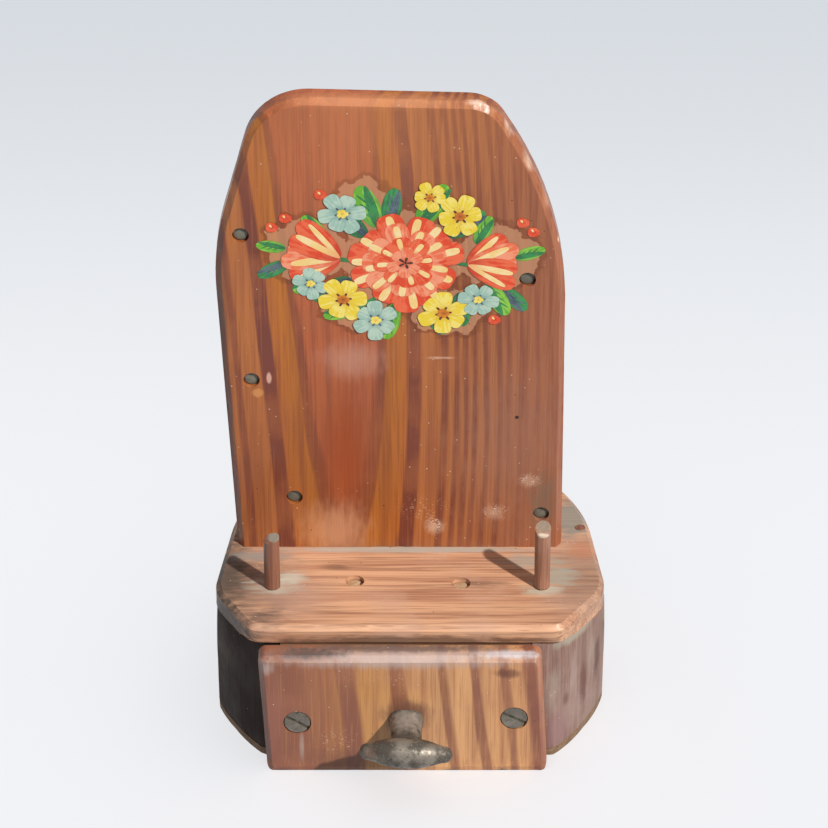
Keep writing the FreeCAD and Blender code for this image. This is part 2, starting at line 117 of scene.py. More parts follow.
class Graph:
    """A material's node tree, with short calls for the nodes that the finishes use."""

    FACTOR, FIRST, SECOND, MIXED = 0, 6, 7, 2
    OFFSETS = (1.0, 0.7, 1.3)
    DOT_CORE = 0.6
    BUMP = 0.6
    COAT_ROUGH = 0.22
    FLECK_EDGE = 0.05
    FLECK_CLUSTERS = (0.44, 0.58)

    def __init__(self, name: str) -> None:
        """Starts a material with one principled shader.

        Args:
            name: The material's name.
        """
        self.material = bpy.data.materials.new(name)
        self.material.use_nodes = True
        self.nodes = self.material.node_tree.nodes
        self.links = self.material.node_tree.links
        self.shader = self.nodes["Principled BSDF"]
        spot = self.nodes.new("ShaderNodeTexCoord")
        self.place = self.vector("MULTIPLY", spot.outputs["Object"], (1 / MM,) * 3)

    def wire(self, socket: Socket, value: object) -> None:
        """Links an output to an input, or sets the input's own value.

        Args:
            socket: The input.
            value: Another node's output, or a plain value.
        """
        if isinstance(value, Socket):
            self.links.new(value, socket)
        else:
            socket.default_value = value

    def reckon(self, kind: str, operation: str, values: Sequence[object]) -> bpy.types.Node:
        """Adds a node that does a sum.

        Args:
            kind: Blender's name for the node.
            operation: Blender's name for the sum.
            values: One output or value for each input.

        Returns:
            The node.
        """
        node = self.nodes.new(kind)
        node.operation = operation
        for socket, value in zip(node.inputs, values):
            self.wire(socket, value)
        return node

    def math(self, operation: str, *values: object) -> Socket:
        """Returns one sum on numbers."""
        return self.reckon("ShaderNodeMath", operation, values).outputs[0]

    def vector(self, operation: str, *values: object) -> Socket:
        """Returns one sum on places: a number for a length or a dot product, and else a place."""
        node = self.reckon("ShaderNodeVectorMath", operation, values)
        return node.outputs["Value" if operation in ("LENGTH", "DOT_PRODUCT") else "Vector"]

    def span(self, value: object, low: float, high: float, bottom: float = 0.0, top: float = 1.0) -> Socket:
        """Eases a value from one range to another and holds it there.

        Args:
            value: The output to ease.
            low: Where the result is at bottom.
            high: Where the result is at top.
            bottom: The result at low.
            top: The result at high.

        Returns:
            The eased output.
        """
        node = self.nodes.new("ShaderNodeMapRange")
        node.interpolation_type = "SMOOTHSTEP"
        for name, setting in (
            ("Value", value), ("From Min", low), ("From Max", high), ("To Min", bottom), ("To Max", top)
        ):
            self.wire(node.inputs[name], setting)
        return node.outputs["Result"]

    def cloud(
        self, scale: Triple, offset: float = 0.0, detail: float = 3.0, colour: bool = False,
        place: object = None
    ) -> Socket:
        """Adds noise.

        Args:
            scale: Its scale per millimetre on each axis.
            offset: A shift that keeps one noise from looking like another.
            detail: How many finer layers it has.
            colour: Whether to give three values and not one.
            place: The place to read, where it isn't the piece's own.

        Returns:
            The noise, about 0.5.
        """
        node = self.nodes.new("ShaderNodeTexNoise")
        shift = tuple(offset * share for share in self.OFFSETS)
        spot = self.vector("MULTIPLY_ADD", place or self.place, scale, shift)
        self.wire(node.inputs["Vector"], spot)
        node.inputs["Scale"].default_value = 1.0
        node.inputs["Detail"].default_value = detail
        return node.outputs["Color" if colour else "Fac"]

    def reading(self, name: str) -> Socket:
        """Returns one of the piece's own named values."""
        node = self.nodes.new("ShaderNodeAttribute")
        node.attribute_name = name
        return node.outputs["Fac"]

    def dots(self, scale: float, reach: float) -> Socket:
        """Adds scattered round dots.

        Args:
            scale: Dots per millimetre.
            reach: A dot's radius as a share of the room about it.

        Returns:
            A mask that is 1 in the dots.
        """
        node = self.nodes.new("ShaderNodeTexVoronoi")
        self.wire(node.inputs["Vector"], self.place)
        node.inputs["Scale"].default_value = scale
        return self.span(node.outputs["Distance"], reach, reach * self.DOT_CORE)

    def ramp(self, value: object, stops: Iterable[tuple[float, str | float]]) -> Socket:
        """Adds a colour ramp.

        Args:
            value: The output that chooses along the ramp.
            stops: Places from 0 to 1, each with a colour code or a grey level.

        Returns:
            The ramp's colour.
        """
        node = self.nodes.new("ShaderNodeValToRGB")
        self.wire(node.inputs[0], value)
        elements = node.color_ramp.elements
        for number, (place, shade) in enumerate(stops):
            element = elements[number] if number < 2 else elements.new(1.0)
            element.position = place
            element.color = tint(shade) if isinstance(shade, str) else (shade, shade, shade, 1.0)
        return node.outputs["Color"]

    def mix(self, share: object, first: object, second: object, blend: str = "MIX") -> Socket:
        """Mixes two colours.

        Args:
            share: How much of the second shows.
            first: An output or a colour code.
            second: An output or a colour code.
            blend: Blender's name for the way they mix.

        Returns:
            The mixed colour.
        """
        node = self.nodes.new("ShaderNodeMix")
        node.data_type = "RGBA"
        node.blend_type = blend
        self.wire(node.inputs[self.FACTOR], share)
        for index, colour in ((self.FIRST, first), (self.SECOND, second)):
            self.wire(node.inputs[index], tint(colour) if isinstance(colour, str) else colour)
        return node.outputs[self.MIXED]

    def spot(self, patch: Patch, ragged: object, flecks: object) -> Socket:
        """Makes the mask of one patch.

        Args:
            patch: The patch.
            ragged: The noise that breaks up its outline.
            flecks: The fine noise that breaks it into specks.

        Returns:
            The mask, at most the patch's strength.
        """
        share = tuple(1 / radius for radius in patch.radii)
        away = self.vector("MULTIPLY", self.vector("SUBTRACT", self.place, patch.centre), share)
        reach = self.vector("LENGTH", away)
        if patch.ragged:
            reach = self.math("MULTIPLY_ADD", ragged, patch.ragged, reach)
            reach = self.math("SUBTRACT", reach, patch.ragged * 0.5)
        mask = self.span(reach, 1.0, 1.0 - patch.soft, 0.0, patch.strength)
        if patch.flecked:
            specks = self.span(flecks, patch.flecked, patch.flecked + self.FLECK_EDGE)
            clusters = self.span(ragged, *self.FLECK_CLUSTERS)
            mask = self.math("MULTIPLY", self.math("MULTIPLY", mask, specks), clusters)
        return mask

    def lay_stains_and_painted_light(
        self, patches: Iterable[Patch], ragged: object, flecks: object, colour: object, rough: object
    ) -> tuple[object, object]:
        """Lays patches on a surface: stains, wear, dust, painted highlights and painted shade.

        Args:
            patches: The patches, in the order that they lie.
            ragged: The noise that breaks up their outlines.
            flecks: The fine noise that breaks them into specks.
            colour: The surface's colour.
            rough: Its roughness.

        Returns:
            The colour and the roughness with the patches.
        """
        for patch in patches:
            mask = self.spot(patch, ragged, flecks)
            colour = self.mix(mask, colour, patch.colour)
            rough = self.math("MAXIMUM", rough, self.math("MULTIPLY", mask, patch.rough))
        return colour, rough

    def finish(
        self, colour: object, rough: object, height: object, relief: float, metallic: float = 0.0,
        coat: float = 0.0, gloss: float = 0.5
    ) -> Material:
        """Wires the shader.

        Args:
            colour: The base colour.
            rough: The roughness.
            height: The height that the bump follows.
            relief: The bump's depth in millimetres.
            metallic: 1 for bare metal.
            coat: How much varnish lies on the surface.
            gloss: The specular level.

        Returns:
            The finished material.
        """
        bump = self.nodes.new("ShaderNodeBump")
        bump.inputs["Strength"].default_value = self.BUMP
        bump.inputs["Distance"].default_value = relief * MM
        self.wire(bump.inputs["Height"], height)
        self.wire(self.shader.inputs["Normal"], bump.outputs["Normal"])
        self.wire(self.shader.inputs["Base Color"], colour)
        self.wire(self.shader.inputs["Roughness"], rough)
        self.shader.inputs["Metallic"].default_value = metallic
        self.shader.inputs["Coat Weight"].default_value = coat
        self.shader.inputs["Coat Roughness"].default_value = self.COAT_ROUGH
        self.shader.inputs["Specular IOR Level"].default_value = gloss
        return self.material


EVEN_RING = ((0.0, 0.0), (0.5, 0.12), (0.82, 0.85), (0.93, 1.0), (1.0, 0.0))


@dataclass(frozen=True)
class Specks:
    """Dots in a wood, which grow from blotches where they are absent to blotches where they are thick."""

    colour: str
    scale: float
    reach: float
    absent: float
    thick: float


@dataclass(frozen=True)
class Wood:
    """Pine cut from a log: rings about a leaning or bowed pith, fibres, blotches, specks, stains and wear,
    and patches of painted highlight and painted shade.
    """

    name: str
    grain: Grain
    early: str
    late: str
    pith: Triple
    lean: Triple
    rings: tuple[Ring, ...] = ()
    spacing: float = 4.0
    depth: float = 0.75
    ground: tuple[tuple[float, str], ...] = ()
    bow: Pair = (0.0, 0.0)
    wander: float = 3.0
    fibre: float = 0.35
    fibre_tint: str = "#6b3d2a"
    blotch: float = 0.3
    blotch_tint: str = "#a97a66"
    specks: float = 0.35
    patches: tuple[Patch, ...] = ()
    rough: float = 0.5
    coat: float = 0.25
    gloss: float = 0.38
    relief: float = 0.14
    offset: float = 0.0
    dots: tuple[Specks, ...] = (
        Specks("#e6cdb8", 0.26, 0.09, 0.46, 0.6), Specks("#3a2018", 0.21, 0.085, 0.5, 0.4)
    )

    def ring_mask(self, graph: Graph, radius: object) -> Socket:
        """Shades the rings.

        Args:
            graph: The material's nodes.
            radius: The distance from the pith in millimetres.

        Returns:
            A mask that is 1 in the darkest wood.
        """
        if not self.rings:
            turn = graph.math("FRACT", graph.math("DIVIDE", radius, self.spacing))
            return graph.ramp(turn, EVEN_RING)
        beyond, per_ramp, inner, outer = 20.0, 7, 0.7, 0.35
        reach = self.rings[-1].radius + beyond
        share = graph.math("DIVIDE", radius, reach)
        masks = []
        for first in range(0, len(self.rings), per_ramp):
            stops = []
            for ring in self.rings[first : first + per_ramp]:
                half = ring.width / 2
                edges = ((-half - inner, 0.0), (-half, ring.depth), (half, ring.depth), (half + outer, 0.0))
                stops += [((ring.radius + step) / reach, shade) for step, shade in edges]
            masks.append(graph.ramp(share, stops))
        mask = masks[0]
        for other in masks[1:]:
            mask = graph.math("MAXIMUM", mask, other)
        return mask

    def ground_colour(self, graph: Graph, radius: object) -> object:
        """Returns the pale wood's colour, which may change from ring to ring."""
        if not self.ground:
            return self.early
        reach = self.ground[-1][0]
        stops = [(radius_mm / reach, colour) for radius_mm, colour in self.ground]
        return graph.ramp(graph.math("DIVIDE", radius, reach), stops)

    def overlay(self, graph: Graph, colour: object) -> object:
        """Returns the colour with what lies on the wood, which plain wood hasn't."""
        return colour

    def pith_distance(self, graph: Graph) -> Socket:
        """Returns how far each place lies from the log's pith, in millimetres."""
        wave = graph.cloud(self.grain.stretch(0.011, 0.045), self.offset, 2.0, colour=True)
        shift = graph.vector("MULTIPLY_ADD", wave, (self.wander,) * 3, (-self.wander / 2,) * 3)
        spoke = graph.vector("SUBTRACT", graph.vector("ADD", graph.place, shift), self.pith)
        if any(self.bow):
            rise = graph.vector("DOT_PRODUCT", graph.vector("MULTIPLY", spoke, spoke), UP)
            spoke = graph.vector("MULTIPLY_ADD", rise, (-self.bow[0], -self.bow[1], 0.0), spoke)
        lean = tuple(Vector(self.lean).normalized())
        return graph.vector("LENGTH", graph.vector("CROSS_PRODUCT", spoke, lean))

    def material(self) -> Material:
        """Builds the material.

        Returns:
            The finished material.
        """
        graph = Graph(self.name)
        radius = self.pith_distance(graph)
        fine = graph.cloud(self.grain.stretch(0.03, 1.3), self.offset + 3.1)
        broad = graph.cloud(self.grain.stretch(0.012, 0.3), self.offset + 7.7, 2.0)
        blotches = graph.cloud((0.045,) * 3, self.offset + 11.3, 4.0)
        ragged = graph.cloud(self.grain.stretch(0.13, 0.46), self.offset + 5.9, 4.0)
        flecks = graph.cloud((1.3, 1.3, 2.2), self.offset + 2.3)
        fine_wave, broad_wave, middle = 1.1, 1.6, 1.35
        radius = graph.math("MULTIPLY_ADD", fine, fine_wave, graph.math("SUBTRACT", radius, middle))
        radius = graph.math("MULTIPLY_ADD", broad, broad_wave, radius)
        rings = self.ring_mask(graph, radius)
        colour = self.ground_colour(graph, radius)
        colour = graph.mix(graph.span(broad, 0.42, 0.68, 0.0, self.fibre), colour, self.late)
        share = graph.math("MULTIPLY", rings, 1.0 if self.rings else self.depth)
        share = graph.math("MULTIPLY", share, graph.span(blotches, 0.68, 0.42, 0.72, 1.0))
        colour = graph.mix(share, colour, self.late)
        colour = graph.mix(graph.span(fine, 0.48, 0.66, 0.0, self.fibre), colour, self.fibre_tint)
        colour = graph.mix(graph.span(fine, 0.48, 0.34, 0.0, self.fibre * 0.6), colour, self.early)
        colour = graph.mix(graph.span(blotches, 0.45, 0.72, 0.0, self.blotch), colour, self.blotch_tint)
        rough = graph.span(blotches, 0.3, 0.7, self.rough - 0.08, self.rough + 0.12)
        colour = self.overlay(graph, colour)
        colour, rough = graph.lay_stains_and_painted_light(self.patches, ragged, flecks, colour, rough)
        height = graph.math("MULTIPLY_ADD", rings, 0.5, graph.math("MULTIPLY", fine, 0.7))
        height = graph.math("MULTIPLY_ADD", ragged, 0.5, height)
        for kind in self.dots:
            room = graph.span(blotches, kind.absent, kind.thick, 0.0, self.specks)
            mask = graph.math("MULTIPLY", graph.dots(kind.scale, kind.reach), room)
            colour = graph.mix(mask, colour, kind.colour)
            height = graph.math("SUBTRACT", height, mask)
        return graph.finish(colour, rough, height, self.relief, coat=self.coat, gloss=self.gloss)


@dataclass(frozen=True)
class BoardWood(Wood):
    """The arched board's pine, with a thin tan film under the painted spray.

    Each part of the film is its middle across and up, and its half width and half height.
    """

    film: tuple[tuple[float, float, float, float], ...] = ()
    film_face: float = -11.0
    film_reach: float = 2.5
    film_tint: str = "#c99674"
    film_rim_tint: str = "#6a3212"

    def overlay(self, graph: Graph, colour: object) -> object:
        """Lays the film on the wood.

        Args:
            graph: The material's nodes.
            colour: The wood's colour.

        Returns:
            The colour with the film's patches and their darker rims.
        """
        edge = graph.cloud((0.16, 0.16, 0.16), 21.0, 4.0)
        near = None
        for x, z, half_width, half_height in self.film:
            share = (1 / half_width, 1 / self.film_reach, 1 / half_height)
            away = graph.vector("SUBTRACT", graph.place, (x, self.film_face, z))
            reach = graph.vector("LENGTH", graph.vector("MULTIPLY", away, share))
            near = reach if near is None else graph.math("MINIMUM", near, reach)
        near = graph.math("MULTIPLY_ADD", edge, 0.9, near)
        rim = graph.math("MULTIPLY", graph.span(near, 1.62, 1.5), graph.span(near, 1.36, 1.42, 0.0, 0.5))
        colour = graph.mix(rim, colour, self.film_rim_tint)
        return graph.mix(graph.span(near, 1.42, 1.39, 0.0, 0.62), colour, self.film_tint)


@dataclass(frozen=True)
class Metal:
    """Old iron or steel: a dark skin, brighter rubbed places, fine pits and dirt."""

    name: str
    skin: str
    rubbed: str
    dirt: str
    bare: float = 0.5
    rough: float = 0.42
    metallic: float = 0.75
    relief: float = 0.18
    patches: tuple[Patch, ...] = ()

    def material(self) -> Material:
        """Builds the material.

        Returns:
            The finished material.
        """
        graph = Graph(self.name)
        broad = graph.cloud((0.16, 0.16, 0.16), 4.0, 4.0)
        ragged = graph.cloud((0.55, 0.55, 0.55), 9.0, 4.0)
        flecks = graph.cloud((1.6, 1.6, 1.6), 2.0, 3.0)
        colour = graph.mix(graph.span(broad, 0.42, 0.66, 0.0, self.bare), self.skin, self.rubbed)
        colour = graph.mix(graph.span(ragged, 0.55, 0.75, 0.0, 0.7), colour, self.dirt)
        colour = graph.mix(graph.span(flecks, 0.6, 0.68, 0.0, self.bare), colour, self.rubbed)
        rough = graph.span(ragged, 0.35, 0.7, self.rough - 0.08, self.rough + 0.22)
        colour, rough = graph.lay_stains_and_painted_light(self.patches, ragged, flecks, colour, rough)
        height = graph.math("MULTIPLY_ADD", ragged, 0.8, graph.math("MULTIPLY", flecks, 0.4))
        return graph.finish(colour, rough, height, self.relief, metallic=self.metallic)


@dataclass(frozen=True)
class Paint:
    """Brushed gloss paint: bristle streaks along each stroke, a deeper heart and rim, and fine wear."""

    name: str
    colour: str
    streak: str
    heart: str

    def material(self) -> Material:
        """Builds the material.

        Returns:
            The finished material.
        """
        graph = Graph(self.name)
        along = graph.reading("along")
        across = graph.reading("across")
        brush = graph.nodes.new("ShaderNodeCombineXYZ")
        graph.wire(brush.inputs[0], along)
        graph.wire(brush.inputs[1], across)
        bristles = graph.cloud((1.3, 4.5, 1.0), 6.0, 3.0, place=brush.outputs[0])
        loads = graph.cloud((0.22, 0.22, 0.22), 3.0, 2.0)
        fine = graph.cloud((1.4, 1.4, 1.4), 1.0, 3.0)
        streaks = graph.math("MULTIPLY_ADD", loads, 0.7, graph.math("MULTIPLY", bristles, 0.6))
        colour = graph.mix(graph.span(streaks, 0.58, 0.72, 0.0, 0.85), self.colour, self.streak)
        colour = graph.mix(graph.span(along, 0.5, 0.0, 0.0, 0.75), colour, self.heart)
        rim = graph.span(graph.math("ABSOLUTE", across), 0.72, 1.0, 0.0, 0.45)
        colour = graph.mix(rim, colour, self.heart)
        colour = graph.mix(graph.span(fine, 0.64, 0.7, 0.0, 0.5), colour, "#b98a62")
        return graph.finish(colour, graph.span(fine, 0.3, 0.7, 0.42, 0.58), fine, 0.03, coat=0.1)


@dataclass(frozen=True)
class Wear:
    """How far a piece's edges and faces have worn, in millimetres."""

    round_over: float = 0.7
    sway: float = 0.15
    nicks: float = 0.3
    grid: float = 4.0
    segments: int = 3
    crisp_foot: bool = False


def join(target: Shape, source: Shape) -> None:
    """Adds one shape to another and frees it.

    Args:
        target: The shape that grows.
        source: The shape that is used up.
    """
    mesh = bpy.data.meshes.new("joined")
    source.to_mesh(mesh)
    source.free()
    target.from_mesh(mesh)
    bpy.data.meshes.remove(mesh)


def cut_grid(shape: Shape, step: float) -> None:
    """Cuts a shape's faces into a grid that its wear can move.

    Args:
        shape: The shape.
        step: The grid's step in millimetres.
    """
    for axis in range(3):
        spread = [vertex.co[axis] for vertex in shape.verts]
        low, high = min(spread), max(spread)
        cuts = int((high - low) / (step * MM))
        normal = Vector([float(axis == other) for other in range(3)])
        for cut in range(1, cuts + 1):
            place = normal * (low + (high - low) * cut / (cuts + 1))
            geometry = [*shape.verts, *shape.edges, *shape.faces]
            bmesh.ops.bisect_plane(shape, geom=geometry, dist=1e-7, plane_co=place, plane_no=normal)


def weather(shape: Shape, wear: Wear) -> None:
    """Moves a surface inwards a little, most where its edges are rounded.

    Args:
        shape: The shape.
        wear: How far it has worn.
    """
    flat_tilt, sway_length, nick_length = 0.25, 38.0, 3.4
    shape.normal_update()
    moves = []
    for vertex in shape.verts:
        place = vertex.co / MM
        tilt = 1.0 - max(abs(part) for part in vertex.normal)
        rim = min(1.0, tilt / flat_tilt)
        sway = wear.sway * (0.5 + 0.5 * noise.noise(place / sway_length))
        nick = wear.nicks * rim * max(0.0, noise.noise(place / nick_length) + 0.15)
        moves.append(vertex.normal * -(sway + nick) * MM)
    for vertex, move in zip(shape.verts, moves):
        vertex.co += move


def worn_copy(node: str, wear: Wear) -> Shape:
    """Copies a node's shape, rounds its outer edges and wears its faces.

    Args:
        node: The node.
        wear: How far it has worn.

    Returns:
        The worn shape.
    """
    merge, straight, sharp = 1e-6, math.radians(1.0), math.radians(30.0)
    shape = bmesh.new()
    shape.from_mesh(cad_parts[node].data)
    bmesh.ops.remove_doubles(shape, verts=shape.verts, dist=merge)
    bmesh.ops.dissolve_limit(shape, angle_limit=straight, verts=shape.verts, edges=shape.edges)
    edges = [edge for edge in shape.edges if edge.is_manifold and edge.is_convex]
    edges = [edge for edge in edges if edge.calc_face_angle() > sharp]
    if wear.crisp_foot:
        foot = min(vertex.co.z for vertex in shape.verts) + 0.1 * MM
        edges = [edge for edge in edges if max(vertex.co.z for vertex in edge.verts) > foot]
    bmesh.ops.bevel(
        shape, geom=edges, offset=wear.round_over * MM, offset_type="OFFSET", segments=wear.segments,
        profile=0.5, affect="EDGES", clamp_overlap=True, material=-1
    )
    cut_grid(shape, wear.grid)
    weather(shape, wear)
    return shape


def turned(profile: Sequence[Pair], foot: Vector, axis: Vector, steps: int = 40) -> Shape:
    """Turns a profile about an axis, as on a lathe.

    Args:
        profile: Places along the axis and radii, in millimetres.
        foot: Where the axis starts, in millimetres.
        axis: The axis's direction.
        steps: How many sides the shape has.

    Returns:
        The turned shape.
    """
    shape = bmesh.new()
    rail = [shape.verts.new((radius * MM, 0.0, along * MM)) for along, radius in profile]
    edges = [shape.edges.new(pair) for pair in zip(rail, rail[1:])]
    bmesh.ops.spin(
        shape, geom=[*rail, *edges], cent=(0, 0, 0), axis=UP, angle=math.tau, steps=steps, use_merge=True
    )
    bmesh.ops.remove_doubles(shape, verts=shape.verts, dist=1e-7)
    bmesh.ops.recalc_face_normals(shape, faces=shape.faces)
    turn = Vector(UP).rotation_difference(axis).to_matrix().to_4x4()
    bmesh.ops.transform(shape, matrix=Matrix.Translation(foot * MM) @ turn, verts=shape.verts)
    return shape


def settle_normals(mesh: bpy.types.Mesh) -> None:
    """Smooths a mesh's shading by the area of the faces round each corner, but not over sharp edges.

    Args:
        mesh: The mesh.
    """
    limit = math.cos(math.radians(38.0))
    around = [[] for _ in mesh.vertices]
    for face in mesh.polygons:
        for corner in face.vertices:
            around[corner].append((face.normal.copy(), face.area))
    normals = []
    for face in mesh.polygons:
        for corner in face.vertices:
            near = [n * area for n, area in around[corner] if n.dot(face.normal) > limit]
            normals.append(sum(near, Vector()).normalized())
    mesh.normals_split_custom_set(normals)
    mesh.update()


@dataclass(frozen=True)
class SlottedScrew:
    """A screw with a slot that runs right across its head, in millimetres."""

    radius: float
    thickness: float
    slot_width: float
    slot_depth: float
    shank_radius: float
    shank_length: float
    point: float
    soft: float = 0.22
    overlap: float = 0.5

    def head(self, top: Vector, facing: Vector, turn: float) -> Shape:
        """Builds the head.

        Args:
            top: The middle of its outer face, in millimetres.
            facing: The way that its outer face looks.
            turn: The slot's turn in degrees.

        Returns:
            The head.
        """
        shape = bmesh.new()
        floor = self.thickness - self.slot_depth
        radius = self.radius * MM
        bmesh.ops.create_cone(
            shape, cap_ends=True, segments=56, radius1=radius, radius2=radius, depth=floor * MM
        )
        for side in (-1, 1):
            geometry = [*shape.verts, *shape.edges, *shape.faces]
            edge = Vector((0, side * self.slot_width / 2, 0)) * MM
            bmesh.ops.bisect_plane(shape, geom=geometry, dist=1e-7, plane_co=edge, plane_no=BACKWARDS)
        shape.normal_update()
        cheeks = [
            face for face in shape.faces
            if face.normal.z > 0.9 and abs(face.calc_center_median().y) > self.slot_width * MM / 2
        ]
        for cheek in cheeks:
            raised = bmesh.ops.extrude_face_region(shape, geom=[cheek])["geom"]
            moved = [item for item in raised if isinstance(item, bmesh.types.BMVert)]
            bmesh.ops.translate(shape, vec=(0, 0, self.slot_depth * MM), verts=moved)
            if cheek.is_valid:
                bmesh.ops.delete(shape, geom=[cheek], context="FACES_KEEP_BOUNDARY")
        bmesh.ops.remove_doubles(shape, verts=shape.verts, dist=1e-7)
        bmesh.ops.recalc_face_normals(shape, faces=shape.faces)
        sharp, waist = 1.0, floor * MM / 2 + 1e-6
        rim = [edge for edge in shape.edges if edge.is_manifold and edge.is_convex]
        rim = [edge for edge in rim if edge.calc_face_angle() > sharp and edge.verts[0].co.z > waist]
        bmesh.ops.bevel(
            shape, geom=rim, offset=self.soft * MM, segments=2, profile=0.5, affect="EDGES",
            clamp_overlap=True, material=-1
        )
        spin = Matrix.Rotation(math.radians(turn), 4, "Z")
        drop = Matrix.Translation(Vector((0, 0, -(floor / 2 + self.slot_depth))) * MM)
        tilt = facing.to_track_quat("Z", "Y").to_matrix().to_4x4()
        place = Matrix.Translation(top * MM) @ tilt @ spin @ drop
        bmesh.ops.transform(shape, matrix=place, verts=shape.verts)
        return shape

    def build(self, top: Vector, facing: Vector, turn: float) -> Shape:
        """Builds the head with its shank.

        Args:
            top: The middle of the head's outer face, in millimetres.
            facing: The way that its outer face looks.
            turn: The slot's turn in degrees.

        Returns:
            The screw.
        """
        shape = self.head(top, facing, turn)
        radius, length = self.shank_radius, self.shank_length
        shank = ((0.0, 0.0), (self.point, radius), (length, radius), (length, 0.0))
        foot = top - facing * (self.thickness + length - self.overlap)
        join(shape, turned(shank, foot, facing, 20))
        return shape


@dataclass
class Assembly:
    """A group of pieces that move with one body."""

    body: str

    def add(
        self, name: str, shape: Shape, slot: str, materials: Sequence[Material],
        replaces: Sequence[str] = ()
    ) -> Piece:
        """Makes a piece from a shape.

        Args:
            name: The piece's name.
            shape: Its shape, which is used up.
            slot: Not used.
            materials: Its materials.
            replaces: The nodes that it stands for.

        Returns:
            The piece.
        """
        mesh = bpy.data.meshes.new(name)
        shape.to_mesh(mesh)
        shape.free()
        mesh.polygons.foreach_set("use_smooth", [True] * len(mesh.polygons))
        settle_normals(mesh)
        for material in materials:
            mesh.materials.append(material)
        piece = bpy.data.objects.new(name, mesh)
        bpy.context.scene.collection.objects.link(piece)
        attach(piece, self.body)
        if replaces:
            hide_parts(*replaces)
        LOG.info("%s: %d faces on %s", name, len(mesh.polygons), self.body)
        return piece

    def wood(self, node: str, slot: str, finish: Wood, wear: Wear) -> Piece:
        """Replaces a wooden node by its worn copy.

        Args:
            node: The node.
            slot: Not used; it is only passed on to add.
            finish: Its wood.
            wear: How far it has worn.

        Returns:
            The piece.
        """
        return self.add(f"{node}_worn", worn_copy(node, wear), slot, [finish.material()], [node])

    def screws(
        self, name: str, node: str, screw: SlottedScrew, seats: Iterable[tuple[Triple, float]],
        facing: Triple, metal: Metal
    ) -> None:
        """Replaces a node of screws by slotted ones.

        Args:
            name: The new piece's name.
            node: The node.
            screw: The kind of screw.
            seats: Each head's middle and its slot's turn.
            facing: The way that the heads look.
            metal: Their finish.
        """
        shape = bmesh.new()
        for top, turn in seats:
            join(shape, screw.build(Vector(top), Vector(facing), turn))
        self.add(name, shape, "screw_steel", [metal.material()], [node])

    def refinish(self, slot: str, material: Material, *nodes: str) -> None:
        """Gives nodes that keep their own shape a better material.

        Args:
            slot: Not used.
            material: The material.
            nodes: The nodes.
        """
        for node in nodes:
            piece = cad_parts[node]
            piece.data.materials.clear()
            piece.data.materials.append(material)
            LOG.info("%s: refinished", node)


def rows(kind: type, *values: tuple) -> tuple:
    """Returns one thing of a kind for each row of its values."""
    return tuple(kind(*row) for row in values)


CHEEK = Wood(
    name="cheek_wood", grain=Grain.UP, early="#9a7c72", late="#6e5048", pith=(120.0, -20.0, 0.0), lean=UP,
    spacing=9.0, depth=0.4, wander=7.0, fibre=0.45, fibre_tint="#5c4640", blotch=0.6, blotch_tint="#a8928c",
    specks=0.5, rough=0.62, coat=0.0, relief=0.22, offset=4.0,
    patches=rows(
        Patch,
        # A pale greenish band along the front of the top edge: painted highlight where the rounded edge
        # catches the light.
        ((62, -52, 50.5), (18, 16, 4), "#a9a394", 0.85, 0.7),
        ((65.5, -46, 24), (2.8, 5, 17), "#6a4640", 0.85, 0.7, 1.2),
        ((71.6, -38, 28), (2.2, 5, 14), "#5d463e", 0.85, 0.7, 1.2),
        ((61.6, -52, 30), (3.4, 5, 19), "#ad9a94", 0.6, 0.9, 1.4),
        ((68.6, -43, 36), (3, 5, 15), "#a89a8c", 0.55, 0.9, 1.4),
        ((58.9, -56, 22.6), (2.2, 4, 4), "#6b524a", 0.7, 0.8),
        ((53.6, -61, 31), (6, 5, 12), "#a3988e", 0.5, 0.9, 1.4),
        ((56, -60, 10), (16, 9, 12), "#927074", 0.6, 0.8),
        ((74, -28, 40), (4, 8, 10), "#6b5048", 0.7, 0.8),
        ((75, -31, 43), (3, 3.4, 3.4), "#8c9650", 0.8, 0.7),
    ),
)
# The left cheek's wood: dark wood made darker still with painted shade, for the side that is turned from the
# key light.
CHEEK_WITH_PAINTED_SHADE = Wood(
    name="cheek_wood_with_painted_shade", grain=Grain.UP, early="#2e1f17", late="#190f0a", pith=(-120.0, -20.0, 0.0),
    lean=UP, spacing=8.0, depth=0.5, wander=7.0, fibre=0.4, fibre_tint="#1f1713", blotch=0.5,
    blotch_tint="#2c221d", specks=0.3, rough=0.66, coat=0.0, gloss=0.2, relief=0.2, offset=14.0,
    patches=rows(
        Patch,
        # Lighter towards the rear, where the painted shade fades into the block's brown.
        ((-56, 16, 26), (34, 44, 60), "#5f4637", 0.75, 1),
        # A pale spot on the front of the top edge: wear, with a painted highlight where the key light
        # catches the rounding.
        ((-52, -52, 51.6), (9, 10, 2.2), "#b9afa4", 0.8, 0.7),
        ((-71, -40, 34), (6, 14, 16), "#5d5046", 0.5, 1, 1.2),
    ),
)
BLOCK = Wood(
    name="block_wood", grain=Grain.ACROSS, early="#8a6650", late="#553a2c", pith=(0.0, 90.0, -20.0),
    lean=RIGHTWARDS, spacing=5.5, depth=0.6, wander=5.0, fibre=0.4, blotch=0.5, blotch_tint="#6b5346",
    rough=0.6, coat=0.05, relief=0.2, offset=24.0,
)
UNDERSIDE = Wood(
    name="underside_wood", grain=Grain.ACROSS, early="#8f755c", late="#6a5140", pith=(0.0, 10.0, -60.0),
    lean=RIGHTWARDS, spacing=4.5, depth=0.5, wander=4.0, fibre=0.4, blotch=0.5, blotch_tint="#5e4d40",
    rough=0.72, coat=0.0, relief=0.2, offset=34.0,
)
